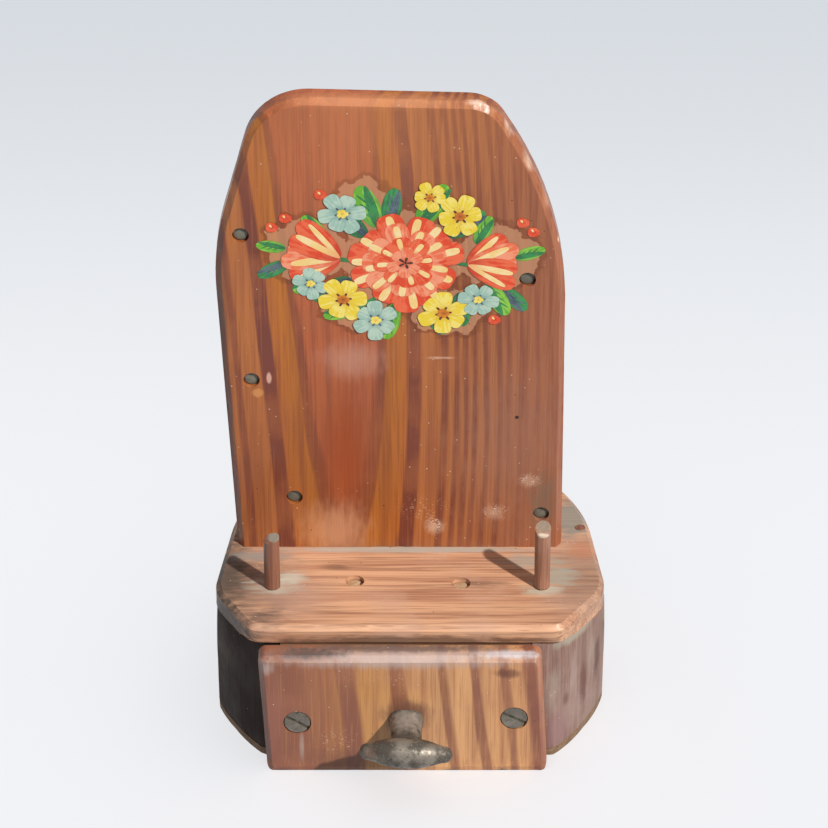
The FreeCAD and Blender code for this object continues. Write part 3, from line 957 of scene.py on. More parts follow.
SHELF = Wood(
    name="shelf_wood", grain=Grain.ACROSS, early="#dcad8b", late="#a46f58", pith=(0.0, -30.0, 6.0),
    lean=(1.0, 0.02, -0.015), spacing=3.6, depth=0.42, wander=6.0, fibre=0.6, fibre_tint="#8e6350",
    blotch=0.55, blotch_tint="#c9a18c", specks=0.5, rough=0.5, coat=0.08, relief=0.24, offset=44.0,
    patches=rows(
        Patch,
        ((-62, -34, 60), (28, 36, 10), "#6a5a52", 0.8, 1),
        ((66, -30, 60), (24, 40, 10), "#806a60", 0.62, 1),
        ((-44, -42, 61), (24, 20, 8), "#a98a80", 0.5, 0.9),
        ((-70, -28, 59), (11, 36, 12), "#51473f", 0.85, 0.8, 1.2),
        ((-56, -56, 58), (13, 9, 8), "#57463e", 0.78, 0.9, 1.3),
        ((-68, -44, 55.4), (22, 26, 5.4), "#4a4038", 0.85, 0.6, 0.8),
        ((-58, -17, 61), (16, 5, 6), "#98908a", 0.8, 0.7),
        ((-52, -36, 61), (13, 7.5, 6), "#bcb5a8", 0.8, 0.8, 1.8),
        ((-45, -31.5, 61), (7.5, 6, 6), "#cbc8ba", 0.75, 0.8, 1.8),
        ((0, -12.6, 61), (66, 2.6, 6), "#b3ada4", 0.9, 0.6, 0.7),
        ((55, -30, 61), (12.5, 10, 6), "#a9a79b", 0.8, 0.8, 1.8),
        ((49.5, -39, 61), (11, 4.5, 6), "#c4c0b0", 0.75, 0.8, 1.6),
        ((45, -20, 61), (18, 6.5, 6), "#a8a196", 0.75, 0.8, 1.6),
        ((62.5, 8, 61), (9, 16, 6), "#8f8c84", 0.85, 0.5, 1.1),
        ((66, -13, 61), (9, 8, 6), "#c2805c", 0.6, 0.7),
        ((26, -35, 61), (18, 3, 6), "#6b4a3c", 0.65, 0.9, 1.2),
        ((-21, -33, 61), (6, 4.5, 6), "#d6a57c", 0.6, 0.8),
        ((-29, -24, 61), (9, 2.6, 6), "#7e5f4f", 0.7, 0.8),
        # Darker along the lower front edge: wear, with painted shade in the crease above the drawer front.
        ((0, -62.6, 54.4), (80, 3, 3.8), "#5a4238", 0.7, 0.7, 1.4),
        ((0, 40, 61), (70, 28, 6), "#7f756c", 0.6, 0.8),
    ),
)
BOARD = BoardWood(
    name="board_wood", grain=Grain.UP, early="#b8713c", late="#70382f", pith=(-25.3, 11.3, 118.0),
    lean=(-0.02, -0.06, 1.0), bow=(-0.0003, 0.00013), wander=1.8, fibre=0.42, fibre_tint="#7d4028",
    blotch_tint="#a8684a", specks=0.7, rough=0.42, coat=0.15, relief=0.16, offset=54.0,
    rings=rows(
        Ring,
        (25.6, 1.5, 0.7), (34.4, 3.5, 0.98), (44, 1.9, 0.85), (48.1, 1.3, 0.85),
        (51.3, 1.1, 0.8), (54.2, 1.2, 0.85), (58.2, 1.3, 0.75), (63, 1.3, 0.65),
        (66.4, 0.7, 0.4), (70.7, 1, 0.5), (76.2, 1, 0.4),
    ),
    ground=(
        (0, "#bf6c48"), (24.6, "#b5623c"), (27, "#bd732a"), (32, "#b66b30"), (36.5, "#b97240"),
        (44, "#b06c3a"), (60, "#ab6a40"), (66, "#a56644"), (90, "#9f644a"),
    ),
    patches=rows(
        Patch,
        # Lighter towards the top of the board.
        ((-8, -11, 262), (95, 9, 75), "#d89060", 0.34, 1, 0.3),
        # Pale streaks down the right shoulder's arris: wear, with a painted highlight where the edge catches
        # the key light.
        ((27, -9.5, 257), (9, 3.4, 2.6), "#f0d6c4", 0.85, 0.7, 0.9),
        ((37.5, -9.5, 248.5), (5, 3.4, 7), "#ecd0bc", 0.8, 0.7, 0.9),
        ((44, -9.5, 236), (3.6, 3.4, 9), "#ecd0bc", 0.75, 0.7, 0.9),
        ((50, -9.5, 220), (2.6, 3, 9), "#d8a080", 0.7, 0.7, 0.9),
        # Darker towards the bottom of the board.
        ((-30, -11, 100), (70, 9, 70), "#7c3d14", 0.36, 1, 0.3),
        ((-25, -11, 106), (12, 8, 40), "#9c4416", 0.75, 0.9, 0.4),
        ((-22, -11, 147), (18, 8, 12), "#c89480", 0.6, 0.95),
        ((-29, -11, 69), (19, 8, 18), "#cd9672", 0.75, 0.9),
        ((38, -11, 105), (34, 8, 60), "#a07460", 0.42, 0.95, 1.2),
        ((50.4, -11, 83), (7, 6, 19), "#7a6858", 0.7, 0.95, 1.3),
        # A dark band down the left edge: painted shade on the edge that is turned from the light.
        ((-71, -11, 160), (4.5, 9, 95), "#5a3c38", 0.6, 0.8, 0.4),
        # A lighter orange band along the top edge: painted highlight where the edge catches the light.
        ((-10, -11, 259), (60, 8, 6), "#cf8f66", 0.5, 0.8, 0.4),
        ((45.4, -11, 92.4), (6, 6, 4), "#e2cdbd", 0.9, 0.7, 0.8, 0.5),
        ((9.6, -11, 71.4), (6, 6, 6), "#e2cdbd", 0.9, 0.8, 0.8, 0.5),
        ((32.2, -11, 77.5), (7, 6, 6), "#e2cdbd", 0.85, 0.8, 0.8, 0.52),
        ((5, -11, 79), (14, 6, 9), "#d9b9a4", 0.7, 0.8, 0.8, 0.57),
        ((9, -11, 70.6), (4.6, 6, 4.4), "#d8b49c", 0.6, 0.9, 1.8),
        ((32, -11, 77.5), (4.8, 6, 4.4), "#cfa78f", 0.5, 0.9, 1.8),
        ((45, -11, 92), (4.6, 6, 4), "#cfa78f", 0.5, 0.9, 1.8),
        ((11, -11, 148), (8, 6, 0.8), "#dcb49c", 0.7, 0.9, 1.2),
        ((40, -11, 121.2), (0.9, 6, 0.9), "#24120e", 0.95, 0.3, 0.2),
        ((-53.2, -11, 139), (1.2, 6, 3), "#dcae9e", 0.9, 0.5, 0.5),
        ((-57.5, -11, 132.2), (2.6, 6, 2.4), "#cf9058", 0.85, 0.5, 0.8),
        ((55.6, -11, 199.2), (2.2, 6, 2.6), "#f6d2b6", 0.95, 0.4, 0.8),
        ((0, -2, 150), (90, 2.2, 120), "#8a6a50", 0.6, 0.3, 0.2),
    ),
    film=(
        (-3, 192, 24, 22), (-38, 196, 16, 14), (32, 192, 16, 14),
        (-18, 214, 11, 12), (14, 168, 14, 10), (-20, 172, 13, 11),
    ),
)
BATTEN = Wood(
    name="batten_wood", grain=Grain.UP, early="#96714e", late="#66452f", pith=(0.0, 60.0, 0.0),
    lean=UP, spacing=5.0, depth=0.6, wander=4.0, fibre=0.45, blotch=0.5, blotch_tint="#735a46",
    rough=0.66, coat=0.0, relief=0.2, offset=64.0,
)
FRONT = Wood(
    name="drawer_front_wood", grain=Grain.UP, early="#cf9860", late="#835042", pith=(-150.0, -68.0, 26.0),
    lean=(-0.1, 0.0, 1.0), wander=5.0, fibre=0.4, fibre_tint="#96593c", blotch=0.35, blotch_tint="#a8705a",
    specks=0.7, rough=0.4, coat=0.2, relief=0.18, offset=74.0,
    rings=rows(
        Ring,
        (97.5, 4, 0.6), (108, 8, 0.45), (126.3, 6.6, 0.9), (146.3, 5.2, 0.85),
        (163.2, 2.6, 0.85), (174.9, 3.2, 0.85), (185.9, 2.6, 0.8), (195.6, 4, 0.95),
        (203, 1.6, 0.6),
    ),
    ground=(
        (0, "#805344"), (95, "#805344"), (103, "#8d5c46"), (120, "#a06a48"), (130, "#c89158"),
        (160, "#e2ae7c"), (190, "#d69f70"), (199, "#b07a60"), (215, "#a6705c"),
    ),
    patches=rows(
        Patch,
        ((-1.8, -71.5, 26), (12, 5, 10), "#6e4a3c", 0.8, 0.6),
        ((-4, -70, 52.6), (64, 9, 6), "#c0afac", 0.82, 0.8, 0.7),
        # A bluish-white painted highlight on the top of the rounding, at the right.
        ((38, -68.5, 53.6), (18, 3.4, 2.6), "#dadce8", 0.7, 0.8, 0.7),
        # Darker at the back of the top: painted shade in the crease under the shelf's front edge.
        ((-4, -65, 53.6), (60, 4, 2.4), "#5d4c48", 0.75, 0.7),
        ((-38, -68.5, 53.6), (19, 5, 3), "#4c4648", 0.8, 0.8, 0.9),
        ((-54, -71, 48.5), (3.4, 5, 4.6), "#b8aaa6", 0.65, 0.8, 1.2),
        ((-52, -71.5, 24), (6.5, 6, 30), "#946052", 0.6, 0.8),
        ((-41.4, -71.5, 11), (1.4, 4, 9), "#b09a90", 0.7, 0.8),
        # A dark patch low on the left: painted shadow that widens and deepens the pull's cast shadow.
        ((-26, -71.5, 5), (26, 5, 8), "#704a3f", 0.5, 0.9),
        ((-28, -71.5, 14), (14, 5, 9), "#e0c4b0", 0.7, 0.8, 0.8, 0.6),
        ((2, -71.5, 44), (50, 5, 5), "#dcb8a4", 0.5, 0.8, 0.8, 0.6),
        ((36, -71.5, 46), (7, 5, 3), "#5a342a", 0.7, 0.7, 0.9),
    ),
)
DRAWER_SIDES = Wood(
    name="drawer_side_wood", grain=Grain.DEEP, early="#b48d62", late="#8a6341", pith=(0.0, 0.0, -45.0),
    lean=BACKWARDS, spacing=3.6, depth=0.6, wander=3.5, fibre=0.4, blotch=0.45, blotch_tint="#8c6f54",
    rough=0.66, coat=0.0, relief=0.18, offset=84.0,
)
DRAWER_ENDS = Wood(
    name="drawer_end_wood", grain=Grain.ACROSS, early="#b08a60", late="#86603f", pith=(0.0, 60.0, -30.0),
    lean=RIGHTWARDS, spacing=3.8, depth=0.6, wander=3.5, fibre=0.4, blotch=0.5, blotch_tint="#86694f",
    rough=0.68, coat=0.0, relief=0.18, offset=94.0,
)
LEFT_DOWEL = Wood(
    name="left_peg_wood", grain=Grain.UP, early="#946652", late="#663f34", pith=(-60.0, -30.0, 0.0), lean=UP,
    spacing=2.4, depth=0.5, wander=1.5, fibre=0.5, blotch=0.4, blotch_tint="#7a5040", rough=0.5, coat=0.15,
    relief=0.14, offset=104.0,
    patches=rows(
        Patch,
        ((-52.7, -36.2, 84.4), (5, 5, 2), "#9a968c", 0.9, 0.35, 0.3),
    ),
)
RIGHT_DOWEL = Wood(
    name="right_peg_wood", grain=Grain.UP, early="#b98a72", late="#805848", pith=(40.0, -28.0, 0.0), lean=UP,
    spacing=2.4, depth=0.5, wander=1.5, fibre=0.5, blotch=0.4, blotch_tint="#7f5543", rough=0.5, coat=0.15,
    relief=0.14, offset=114.0,
    patches=rows(
        Patch,
        ((49.8, -36.2, 89.6), (5, 5, 4), "#8f8a7c", 0.75, 0.5, 0.6),
        ((49.8, -38.6, 86.2), (3.4, 1.6, 1), "#e6d6c4", 0.8, 0.5, 0.5),
    ),
)
PULL = Metal(
    name="pull_metal", skin="#57524b", rubbed="#9c958b", dirt="#332d28", bare=0.6, rough=0.46, metallic=0.4,
    patches=rows(
        Patch,
        ((-1.8, -77, 26), (9, 10, 6), "#b0aaa4", 0.8, 0.7),
        ((-14, -93, 22.5), (6.5, 6, 5), "#b3a184", 0.8, 0.8, 1, 0.5, 0.5),
        ((-6, -94, 19.5), (12, 6, 3), "#c0b090", 0.7, 0.8, 1, 0.54, 0.5),
        ((-15, -92, 25), (4, 5, 3), "#6b4a3c", 0.6, 0.7),
    ),
)
SCREW = Metal("screw_metal", "#6f6a62", "#989389", "#4a443c", rough=0.45, metallic=0.5)
SHELF_SCREW = Metal("shelf_screw_metal", "#a88768", "#cdb192", "#6b4a38", bare=0.6, rough=0.7, metallic=0.1)
NAIL = Metal("nail_metal", "#6e6d63", "#8b897c", "#453f37", rough=0.55, metallic=0.3)
RUSTY_NAIL = Metal("rusty_nail", "#4a3a30", "#6e5644", "#5c3320", bare=0.4, rough=0.65)


@dataclass
class Base(Assembly):
    """The horseshoe base: two cheeks, a rear block, a rail and a thin bottom board."""

    body: str = "case"
    wear: Wear = Wear(round_over=0.9, sway=0.12, nicks=0.4, grid=3.5)
    corner: Pair = (66.6, -45.7)
    corner_heading: float = 34.0
    corner_radius: float = 62.0
    corner_fill: float = 4.6
    height: float = 52.6
    front: float = -62.4
    side: float = 74.5
    cavity: float = 47.5

    def fill_corners(self, piece: Piece) -> None:
        """Brings the foot's front corners out to the full round that they have worn to.

        Args:
            piece: A piece of the base.
        """
        heading = math.radians(self.corner_heading)
        slack, shortfall, skin, rear = 0.6, 0.5, 2.5, 20.0
        front_gain, front_limit, side_gain, fade_start, fade_span = 0.16, 16.0, 0.05, 50.0, 25.0
        for vertex in piece.data.vertices:
            place = vertex.co / MM
            hand = 1.0 if place.x > 0 else -1.0
            out = Vector((hand * math.cos(heading), -math.sin(heading)))
            middle = Vector((hand * self.corner[0], self.corner[1]))
            middle -= out * (self.corner_radius + self.corner_fill)
            drop = 1.0 - place.z / self.height
            middle += out * (self.corner_fill + slack) * (1.0 - drop)
            spoke = place.xy - middle
            if spoke.length < self.corner_radius - skin or spoke.y > rear:
                continue
            aside = math.degrees(out.angle_signed(spoke)) * hand
            fill = self.corner_fill - shortfall
            fill += front_gain * min(aside, front_limit) if aside > 0 else side_gain * aside
            fill *= drop * max(0.0, min(1.0, (aside + fade_start) / fade_span))
            move = spoke.normalized() * fill
            across = place.x + (move.x if abs(place.x) > self.cavity else 0.0)
            across = max(-self.side, min(self.side, across))
            vertex.co = in_metres((across, max(self.front, place.y + move.y), place.z))
        settle_normals(piece.data)

    def rub_shoulder(self, piece: Piece) -> None:
        """Rounds a cheek's top over where hands have rubbed it, so that it is widest at half height.

        Args:
            piece: The cheek.
        """
        waist, rise, depth = 26.0, 26.6, 0.7
        centre, reach = (75.0, -36.0), (14.0, 40.0)
        for vertex in piece.data.vertices:
            place = vertex.co / MM
            lift = max(0.0, place.z - waist) / rise
            away = ((abs(place.x) - centre[0]) / reach[0], (place.y - centre[1]) / reach[1])
            share = max(0.0, 1.0 - math.hypot(*away))
            vertex.co.x -= math.copysign(depth * lift**2 * share, place.x) * MM
        settle_normals(piece.data)

    def build(self) -> None:
        """Builds and dresses the base."""
        for node, finish in (("left_cheek", CHEEK_WITH_PAINTED_SHADE), ("right_cheek", CHEEK)):
            cheek = self.wood(node, "case_wood", finish, self.wear)
            self.fill_corners(cheek)
            self.rub_shoulder(cheek)
        self.wood("rear_block", "case_wood", BLOCK, self.wear)
        self.wood("front_rail", "case_wood", BLOCK, Wear(round_over=0.5))
        board = self.wood("bottom_board", "case_wood", UNDERSIDE, Wear(round_over=0.3, sway=0.05, nicks=0.1))
        self.fill_corners(board)
        self.refinish("nail_iron", RUSTY_NAIL.material(), "bottom_nails", "foot_nails")


@dataclass
class Shelf(Assembly):
    """The shelf, its two pegs, its pin and the two screws that hold its front."""

    body: str = "case"
    seats: tuple[tuple[Triple, float], ...] = (((-21.3, -33.1, 59.1), 35.0), ((19.1, -34.5, 59.1), -15.0))
    screw: SlottedScrew = SlottedScrew(3.3, 1.1, 0.8, 0.5, 1.7, 13.0, 1.5)
    worn_corner: Pair = (75.0, -37.0)
    worn_reach: Pair = (26.0, 36.0)
    worn_move: Triple = (-0.558, 0.216, 0.0)
    arris_top: float = 56.5
    arris_foot: float = 52.6
    arris_back: float = -58.0
    arris_move: Triple = (0.0, 0.5, 1.0)

    def rub_corner(self, piece: Piece) -> None:
        """Wears the shelf's right shoulder back from the cheek below it, and its lower front arris up.

        Args:
            piece: The shelf.
        """
        softness = 0.8
        for vertex in piece.data.vertices:
            place = vertex.co / MM
            away = [(place[axis] - self.worn_corner[axis]) / self.worn_reach[axis] for axis in (0, 1)]
            share = max(0.0, 1.0 - math.hypot(*away)) ** softness
            vertex.co += in_metres(self.worn_move) * share
            under = max(0.0, (self.arris_top - place.z) / (self.arris_top - self.arris_foot))
            if place.y < self.arris_back:
                vertex.co += in_metres(self.arris_move) * under
        settle_normals(piece.data)

    def build(self) -> None:
        """Builds and dresses the shelf and what stands in it."""
        shelf = self.wood("top_shelf", "shelf_wood", SHELF, Wear(round_over=1.3, sway=0.2, nicks=0.5))
        self.rub_corner(shelf)
        whittled = Wear(round_over=0.4, sway=0.3, nicks=0.15, grid=2.0)
        self.wood("left_peg", "dowel_wood", LEFT_DOWEL, whittled)
        self.wood("right_peg", "dowel_wood", RIGHT_DOWEL, whittled)
        self.wood("shelf_pin", "dowel_wood", LEFT_DOWEL, Wear(round_over=0.2, sway=0.05, grid=3.0))
        self.screws("shelf_screws_slotted", "shelf_screws", self.screw, self.seats, UP, SHELF_SCREW)


class Hue(Enum):
    """The spray's paints: the brush's colour, its streaks, and the shade at a stroke's heart and rim."""

    POPPY = ("#e04a2a", "#f0734e", "#b93420")
    CORAL = ("#ee7450", "#f8a685", "#d94a30")
    CREAM = ("#f6d58a", "#fbe8b4", "#f0a066")
    YELLOW = ("#efd63c", "#f8ea84", "#dcae28")
    OCHRE = ("#dd8a2a", "#c0691c", "#8a4a1c")
    SKY = ("#a0c6ba", "#bfdacc", "#5f9096")
    SLATE = ("#3f5463", "#5f7a80", "#2a3a48")
    LEAF = ("#67b034", "#98d252", "#2f8a3a")
    FERN = ("#2a7846", "#3f9a58", "#185436")
    UMBER = ("#5a2c1a", "#4a2214", "#331408")


@dataclass
class Spray(Assembly):
    """A folk-style spray of flowers in brush strokes on the board's face, in millimetres."""

    body: str = "case"
    face: float = -10.93
    layer: float = 0.015
    thick: float = 0.012
    shapes: Shape = field(default_factory=bmesh.new)
    depth: int = 0

    def stroke(
        self, hue: Hue, root: Pair, heading: float, length: float, width: float,
        belly: float = 0.6, above: int = 0
    ) -> None:
        """Lays one thin, flat brush stroke.

        Args:
            hue: Its paint.
            root: Where the brush is set down, across and up.
            heading: The way it runs, in degrees from the right.
            length: Its length.
            width: Its width.
            belly: How far along it is widest.
            above: How many layers it lies above the flower's own.
        """
        petal = bmesh.new()
        along = petal.verts.layers.float.new("along")
        across = petal.verts.layers.float.new("across")
        bmesh.ops.create_uvsphere(petal, u_segments=20, v_segments=4, radius=1.0)
        turn = Matrix.Rotation(math.radians(heading), 2)
        flat_top = 4
        lift = self.face - self.layer * (self.depth + above)
        skew = math.log(0.5) / math.log(1.0 - belly)
        for vertex in petal.verts:
            share = max(0.0, min(1.0, (vertex.co.x + 1) / 2))
            vertex[along] = share
            vertex[across] = vertex.co.y
            left = (1.0 - share) ** skew
            swell = 2.0 * math.sqrt(left * (1.0 - left))
            round_width = 2.0 * math.sqrt(max(1e-9, share * (1.0 - share)))
            flat = turn @ Vector((share * length, vertex.co.y * width / 2 * swell / round_width))
            level = max(-1.0, min(1.0, vertex.co.z * flat_top)) * self.thick
            vertex.co = in_metres((root[0] + flat.x, lift - level, root[1] + flat.y))
        for face in petal.faces:
            face.material_index = list(Hue).index(hue)
        bmesh.ops.recalc_face_normals(petal, faces=petal.faces)
        join(self.shapes, petal)

    def leaf(self, root: Pair, heading: float, length: float, dark: bool = False) -> None:
        """Lays a leaf with a shaded half and veins.

        Args:
            root: Where it joins its stem.
            heading: The way it points, in degrees from the right.
            length: Its length.
            dark: Whether it is one of the dark leaves.
        """
        body, shade = (Hue.FERN, Hue.SLATE) if dark else (Hue.LEAF, Hue.FERN)
        self.stroke(body, root, heading, length, length * 0.46, 0.5)
        self.stroke(shade, root, heading - 7, length * 0.97, length * 0.2, 0.45, 1)
        turn = math.radians(heading)
        for share, side in ((0.2, 30), (0.4, 28), (0.6, 26)):
            spot = (root[0] + math.cos(turn) * length * share, root[1] + math.sin(turn) * length * share)
            self.stroke(shade, spot, heading + side, length * 0.26, length * 0.045, 0.4, 2)

    def ring(
        self, hue: Hue, centre: Pair, petals: int, reach: float, width: float, start: float,
        inner: float = 0.0
    ) -> None:
        """Lays a ring of petals on its own three layers.

        Args:
            hue: Their paint.
            centre: The flower's middle.
            petals: How many there are.
            reach: How far they reach from the middle.
            width: Each one's width.
            start: The first one's heading in degrees.
            inner: How far from the middle they start.
        """
        sideways, lengthways = 5, 0.1
        for number in range(petals):
            heading = start + 360 * number / petals + sideways * math.sin(number * 1.7 + start)
            turn = math.radians(heading)
            uneven = 1 + lengthways * math.sin(number * 2.3 + reach)
            root = (centre[0] + math.cos(turn) * inner, centre[1] + math.sin(turn) * inner)
            above = 2 if number == petals - 1 and petals % 2 else number % 2
            self.stroke(hue, root, heading, (reach - inner) * uneven, width, 0.66, above)
        self.depth += 3

    def dahlia(self, centre: Pair, reach: float) -> None:
        """Lays the large flower: rings of petals with pale strokes on them.

        Args:
            centre: Its middle.
            reach: How far its petals reach.
        """
        for hue, petals, share, width, start, inner in (
            (Hue.POPPY, 11, 1.0, 0.5, 8.0, 0.25), (Hue.CREAM, 11, 0.97, 0.15, 13.0, 0.5),
            (Hue.CORAL, 9, 0.78, 0.44, 22.0, 0.12), (Hue.CREAM, 9, 0.75, 0.13, 27.0, 0.36),
            (Hue.POPPY, 8, 0.54, 0.36, 5.0, 0.06), (Hue.CREAM, 8, 0.5, 0.1, 10.0, 0.24),
            (Hue.CORAL, 6, 0.32, 0.22, 20.0, 0.02), (Hue.UMBER, 5, 0.13, 0.05, 0.0, 0.02),
        ):
            self.ring(hue, centre, petals, reach * share, reach * width, start, reach * inner)

    def daisy(self, centre: Pair, reach: float, hue: Hue, petals: int = 6) -> None:
        """Lays a small flower with a dark-rimmed eye.

        Args:
            centre: Its middle.
            reach: How far its petals reach.
            hue: Its petals' paint.
            petals: How many there are.
        """
        self.ring(hue, centre, petals, reach, reach * 0.72, centre[0] * 7, reach * 0.1)
        self.ring(Hue.UMBER if hue is Hue.YELLOW else Hue.SLATE, centre, 6, reach * 0.36, reach * 0.1, 10.0)
        self.ring(Hue.OCHRE if hue is Hue.YELLOW else Hue.YELLOW, centre, 5, reach * 0.24, reach * 0.2, 0.0)

    def tulip(self, root: Pair, heading: float, length: float) -> None:
        """Lays a tulip: outer petals, inner ones over them and pale strokes.

        Args:
            root: Where it joins its stem.
            heading: The way it points, in degrees from the right.
            length: Its length.
        """
        for hue, side, share, width in (
            (Hue.CORAL, 0, 0.9, 0.4), (Hue.POPPY, 36, 0.92, 0.44), (Hue.POPPY, -34, 0.98, 0.42),
            (Hue.CREAM, 42, 0.82, 0.12), (Hue.CORAL, 16, 1.0, 0.4), (Hue.CREAM, 20, 0.84, 0.14),
            (Hue.POPPY, -12, 0.92, 0.4), (Hue.CREAM, -19, 0.86, 0.13), (Hue.CREAM, -40, 0.84, 0.1),
        ):
            self.stroke(hue, root, heading + side, length * share, length * width, 0.6)
            self.depth += 1

    def build(self) -> None:
        """Lays the whole spray, from its leaves up to its flowers."""
        for place, (root, heading, length, dark) in enumerate((
            ((-12, 205), 112, 19, False), ((-8, 206), 82, 16, True), ((3, 206), 60, 20, False),
            ((-16, 201), 138, 17, True), ((14, 201), 40, 17, True), ((-31, 199), 128, 14, False),
            ((-46, 196), 172, 11, False), ((-45, 190), 208, 13, True), ((-33, 188), 228, 15, False),
            ((-22, 183), 214, 17, True), ((33, 179), 316, 14, True), ((28, 181), 300, 16, False),
            ((38, 192), 18, 12, False), ((18, 177), 276, 15, True), ((-6, 172), 258, 16, False),
            ((6, 172), 296, 15, True), ((24, 198), 66, 13, False), ((-20, 170), 196, 13, False),
        )):
            self.depth = 4 * (place % 3)
            self.leaf(root, heading, length, dark)
        self.depth = 12
        for root, heading, length in (((-16, 190), 172, 26), ((14, 190), 352, 24), ((-8, 178), 214, 20)):
            self.stroke(Hue.FERN, root, heading, length, 1.6, 0.5)
        for tulip in (((-26, 192), 168, 22), ((21, 189), 6, 20)):
            self.depth = 13
            self.tulip(*tulip)
        for place, (centre, reach, hue) in enumerate((
            ((-25, 211), 8.6, Hue.SKY), ((18, 210), 8.6, Hue.YELLOW), ((-25, 174), 9.0, Hue.YELLOW),
            ((-13, 165), 8.2, Hue.SKY), ((12, 168), 9.0, Hue.YELLOW), ((25, 174), 7.2, Hue.SKY),
            ((-37, 181), 6.6, Hue.SKY), ((7, 218), 6.2, Hue.YELLOW),
        )):
            self.depth = 22 + 9 * (place % 2)
            self.daisy(centre, reach, hue)
        self.depth = 14
        self.dahlia((-2, 190), 20.5)
        for centre in ((-51, 205), (-46, 209), (45, 203), (41, 207), (-33, 219), (31, 165)):
            self.depth = 12
            self.ring(Hue.POPPY, centre, 5, 2.2, 2.4, 0.0)
            self.stroke(Hue.CREAM, centre, 120, 1.5, 0.8)
        paints = [Paint(f"paint_{hue.name.lower()}", *hue.value).material() for hue in Hue]
        self.add("painted_spray", self.shapes, "board_wood", paints)


@dataclass
class Back(Assembly):
    """The arched board, the battens behind it and the nails that hold them."""

    body: str = "case"
    nail_places: tuple[Pair, ...] = (
        (-62.5, 201.5), (-59.8, 138.0), (-44.5, 84.3), (43.1, 182.3), (49.8, 76.6)
    )
    nail_face: float = -9.8
    nail_radius: float = 2.8
    nail_dome: float = 0.45
    nail_length: float = 16.0

    def build(self) -> None:
        """Builds and dresses the board and what holds it."""
        self.wood("backboard", "board_wood", BOARD, Wear(1.25, 0.1, 0.45, 3.0, 4, True))
        batten_wear = Wear(round_over=0.8, sway=0.3, nicks=0.4)
        self.wood("left_batten", "board_wood", BATTEN, batten_wear)
        self.wood("right_batten", "board_wood", BATTEN, batten_wear)
        self.nails()

    def nails(self) -> None:
        """Builds the five round-headed nails."""
        nails = bmesh.new()
        back = Vector(BACKWARDS)
        rim = self.nail_radius
        profile = [(0.0, 0.0), (self.nail_dome * 0.12, rim * 0.5), (self.nail_dome * 0.5, rim * 0.85),
                   (self.nail_dome, rim), (1.5, rim * 0.96), (1.7, 1.2), (self.nail_length, 1.0),
                   (self.nail_length + 1.0, 0.0)]
        for x, z in self.nail_places:
            join(nails, turned(profile, Vector((x, self.nail_face, z)), back, 28))
        weather(nails, Wear(sway=0.12, nicks=0.1))
        self.add("backboard_nails_domed", nails, "screw_steel", [NAIL.material()], ["backboard_nails"])


@dataclass
class Pull(Assembly):
    """The T-shaped pull: a flared stem with a spindle-shaped bar across its end, in millimetres."""

    body: str = "drawer"
    root: Triple = (-1.8, -71.5, 23.4)
    standoff: float = 19.2
    half_length: float = 17.6
    belly_radius: float = 5.9
    end_radius: float = 3.2
    stem_radius: float = 6.0
    root_radius: float = 6.5
    squareness: float = 3.0
    flatness: float = 0.86
    flare: float = 1.6
    foot: float = 0.9
    tilt: float = 3.2
    rings: int = 44

    def bar_radius(self, along: float) -> float:
        """Returns the bar's radius at a distance from its middle, in millimetres."""
        shoulder = self.half_length - self.end_radius
        if abs(along) > shoulder:
            return math.sqrt(max(0.0, self.end_radius**2 - (abs(along) - shoulder) ** 2))
        swell = math.cos(math.pi / 2 * (abs(along) / shoulder) ** 1.25) ** 1.3
        return self.end_radius + (self.belly_radius - self.end_radius) * swell

    def build(self) -> None:
        """Builds and dresses the pull."""
        steps = [-math.cos(math.pi * n / self.rings) * self.half_length for n in range(self.rings + 1)]
        bar_profile = [(along + self.half_length, self.bar_radius(along)) for along in steps]
        turn = math.radians(self.tilt)
        bar_axis = Vector((math.cos(turn), 0.0, -math.sin(turn)))
        centre = Vector(self.root) + Vector((0.0, -self.standoff, 0.0))
        shape = turned(bar_profile, centre - bar_axis * self.half_length, bar_axis, 48)
        swell = self.root_radius - self.stem_radius
        lengths = [self.standoff * n / 24 for n in range(25)]
        radii = [self.stem_radius + swell * math.exp(-max(0.0, y - self.foot) / self.flare) for y in lengths]
        stem_profile = [(0.0, 0.0), *zip(lengths, radii), (self.standoff, 0.0)]
        stem = turned(stem_profile, Vector(self.root), Vector(FORWARDS), 48)
        self.square_up(stem)
        join(shape, stem)
        self.cast(shape)
        self.add("drawer_pull_cast", shape, "pull_metal", [PULL.material()], ["drawer_pull"])

    def square_up(self, stem: Shape) -> None:
        """Makes a turned stem squarish in section, wider than it is high.

        Args:
            stem: The stem.
        """
        for vertex in stem.verts:
            place = vertex.co / MM
            away = Vector((place.x - self.root[0], place.z - self.root[2]))
            if away.length < 0.1:
                continue
            parts = [abs(part / away.length) ** self.squareness for part in away]
            away *= sum(parts) ** (-1.0 / self.squareness)
            vertex.co = in_metres((self.root[0] + away.x, place.y, self.root[2] + away.y * self.flatness))

    def cast(self, shape: Shape) -> None:
        """Gives the pull the uneven skin of a casting.

        Args:
            shape: The pull.
        """
        broad_depth, broad_length, level, fine_depth, fine_length = 0.14, 5.0, 0.6, 0.08, 1.7
        shape.normal_update()
        for vertex in shape.verts:
            place = vertex.co / MM
            dip = broad_depth * (noise.noise(place / broad_length) + level)
            dip += fine_depth * max(0.0, noise.noise(place / fine_length))
            vertex.co -= vertex.normal * dip * MM


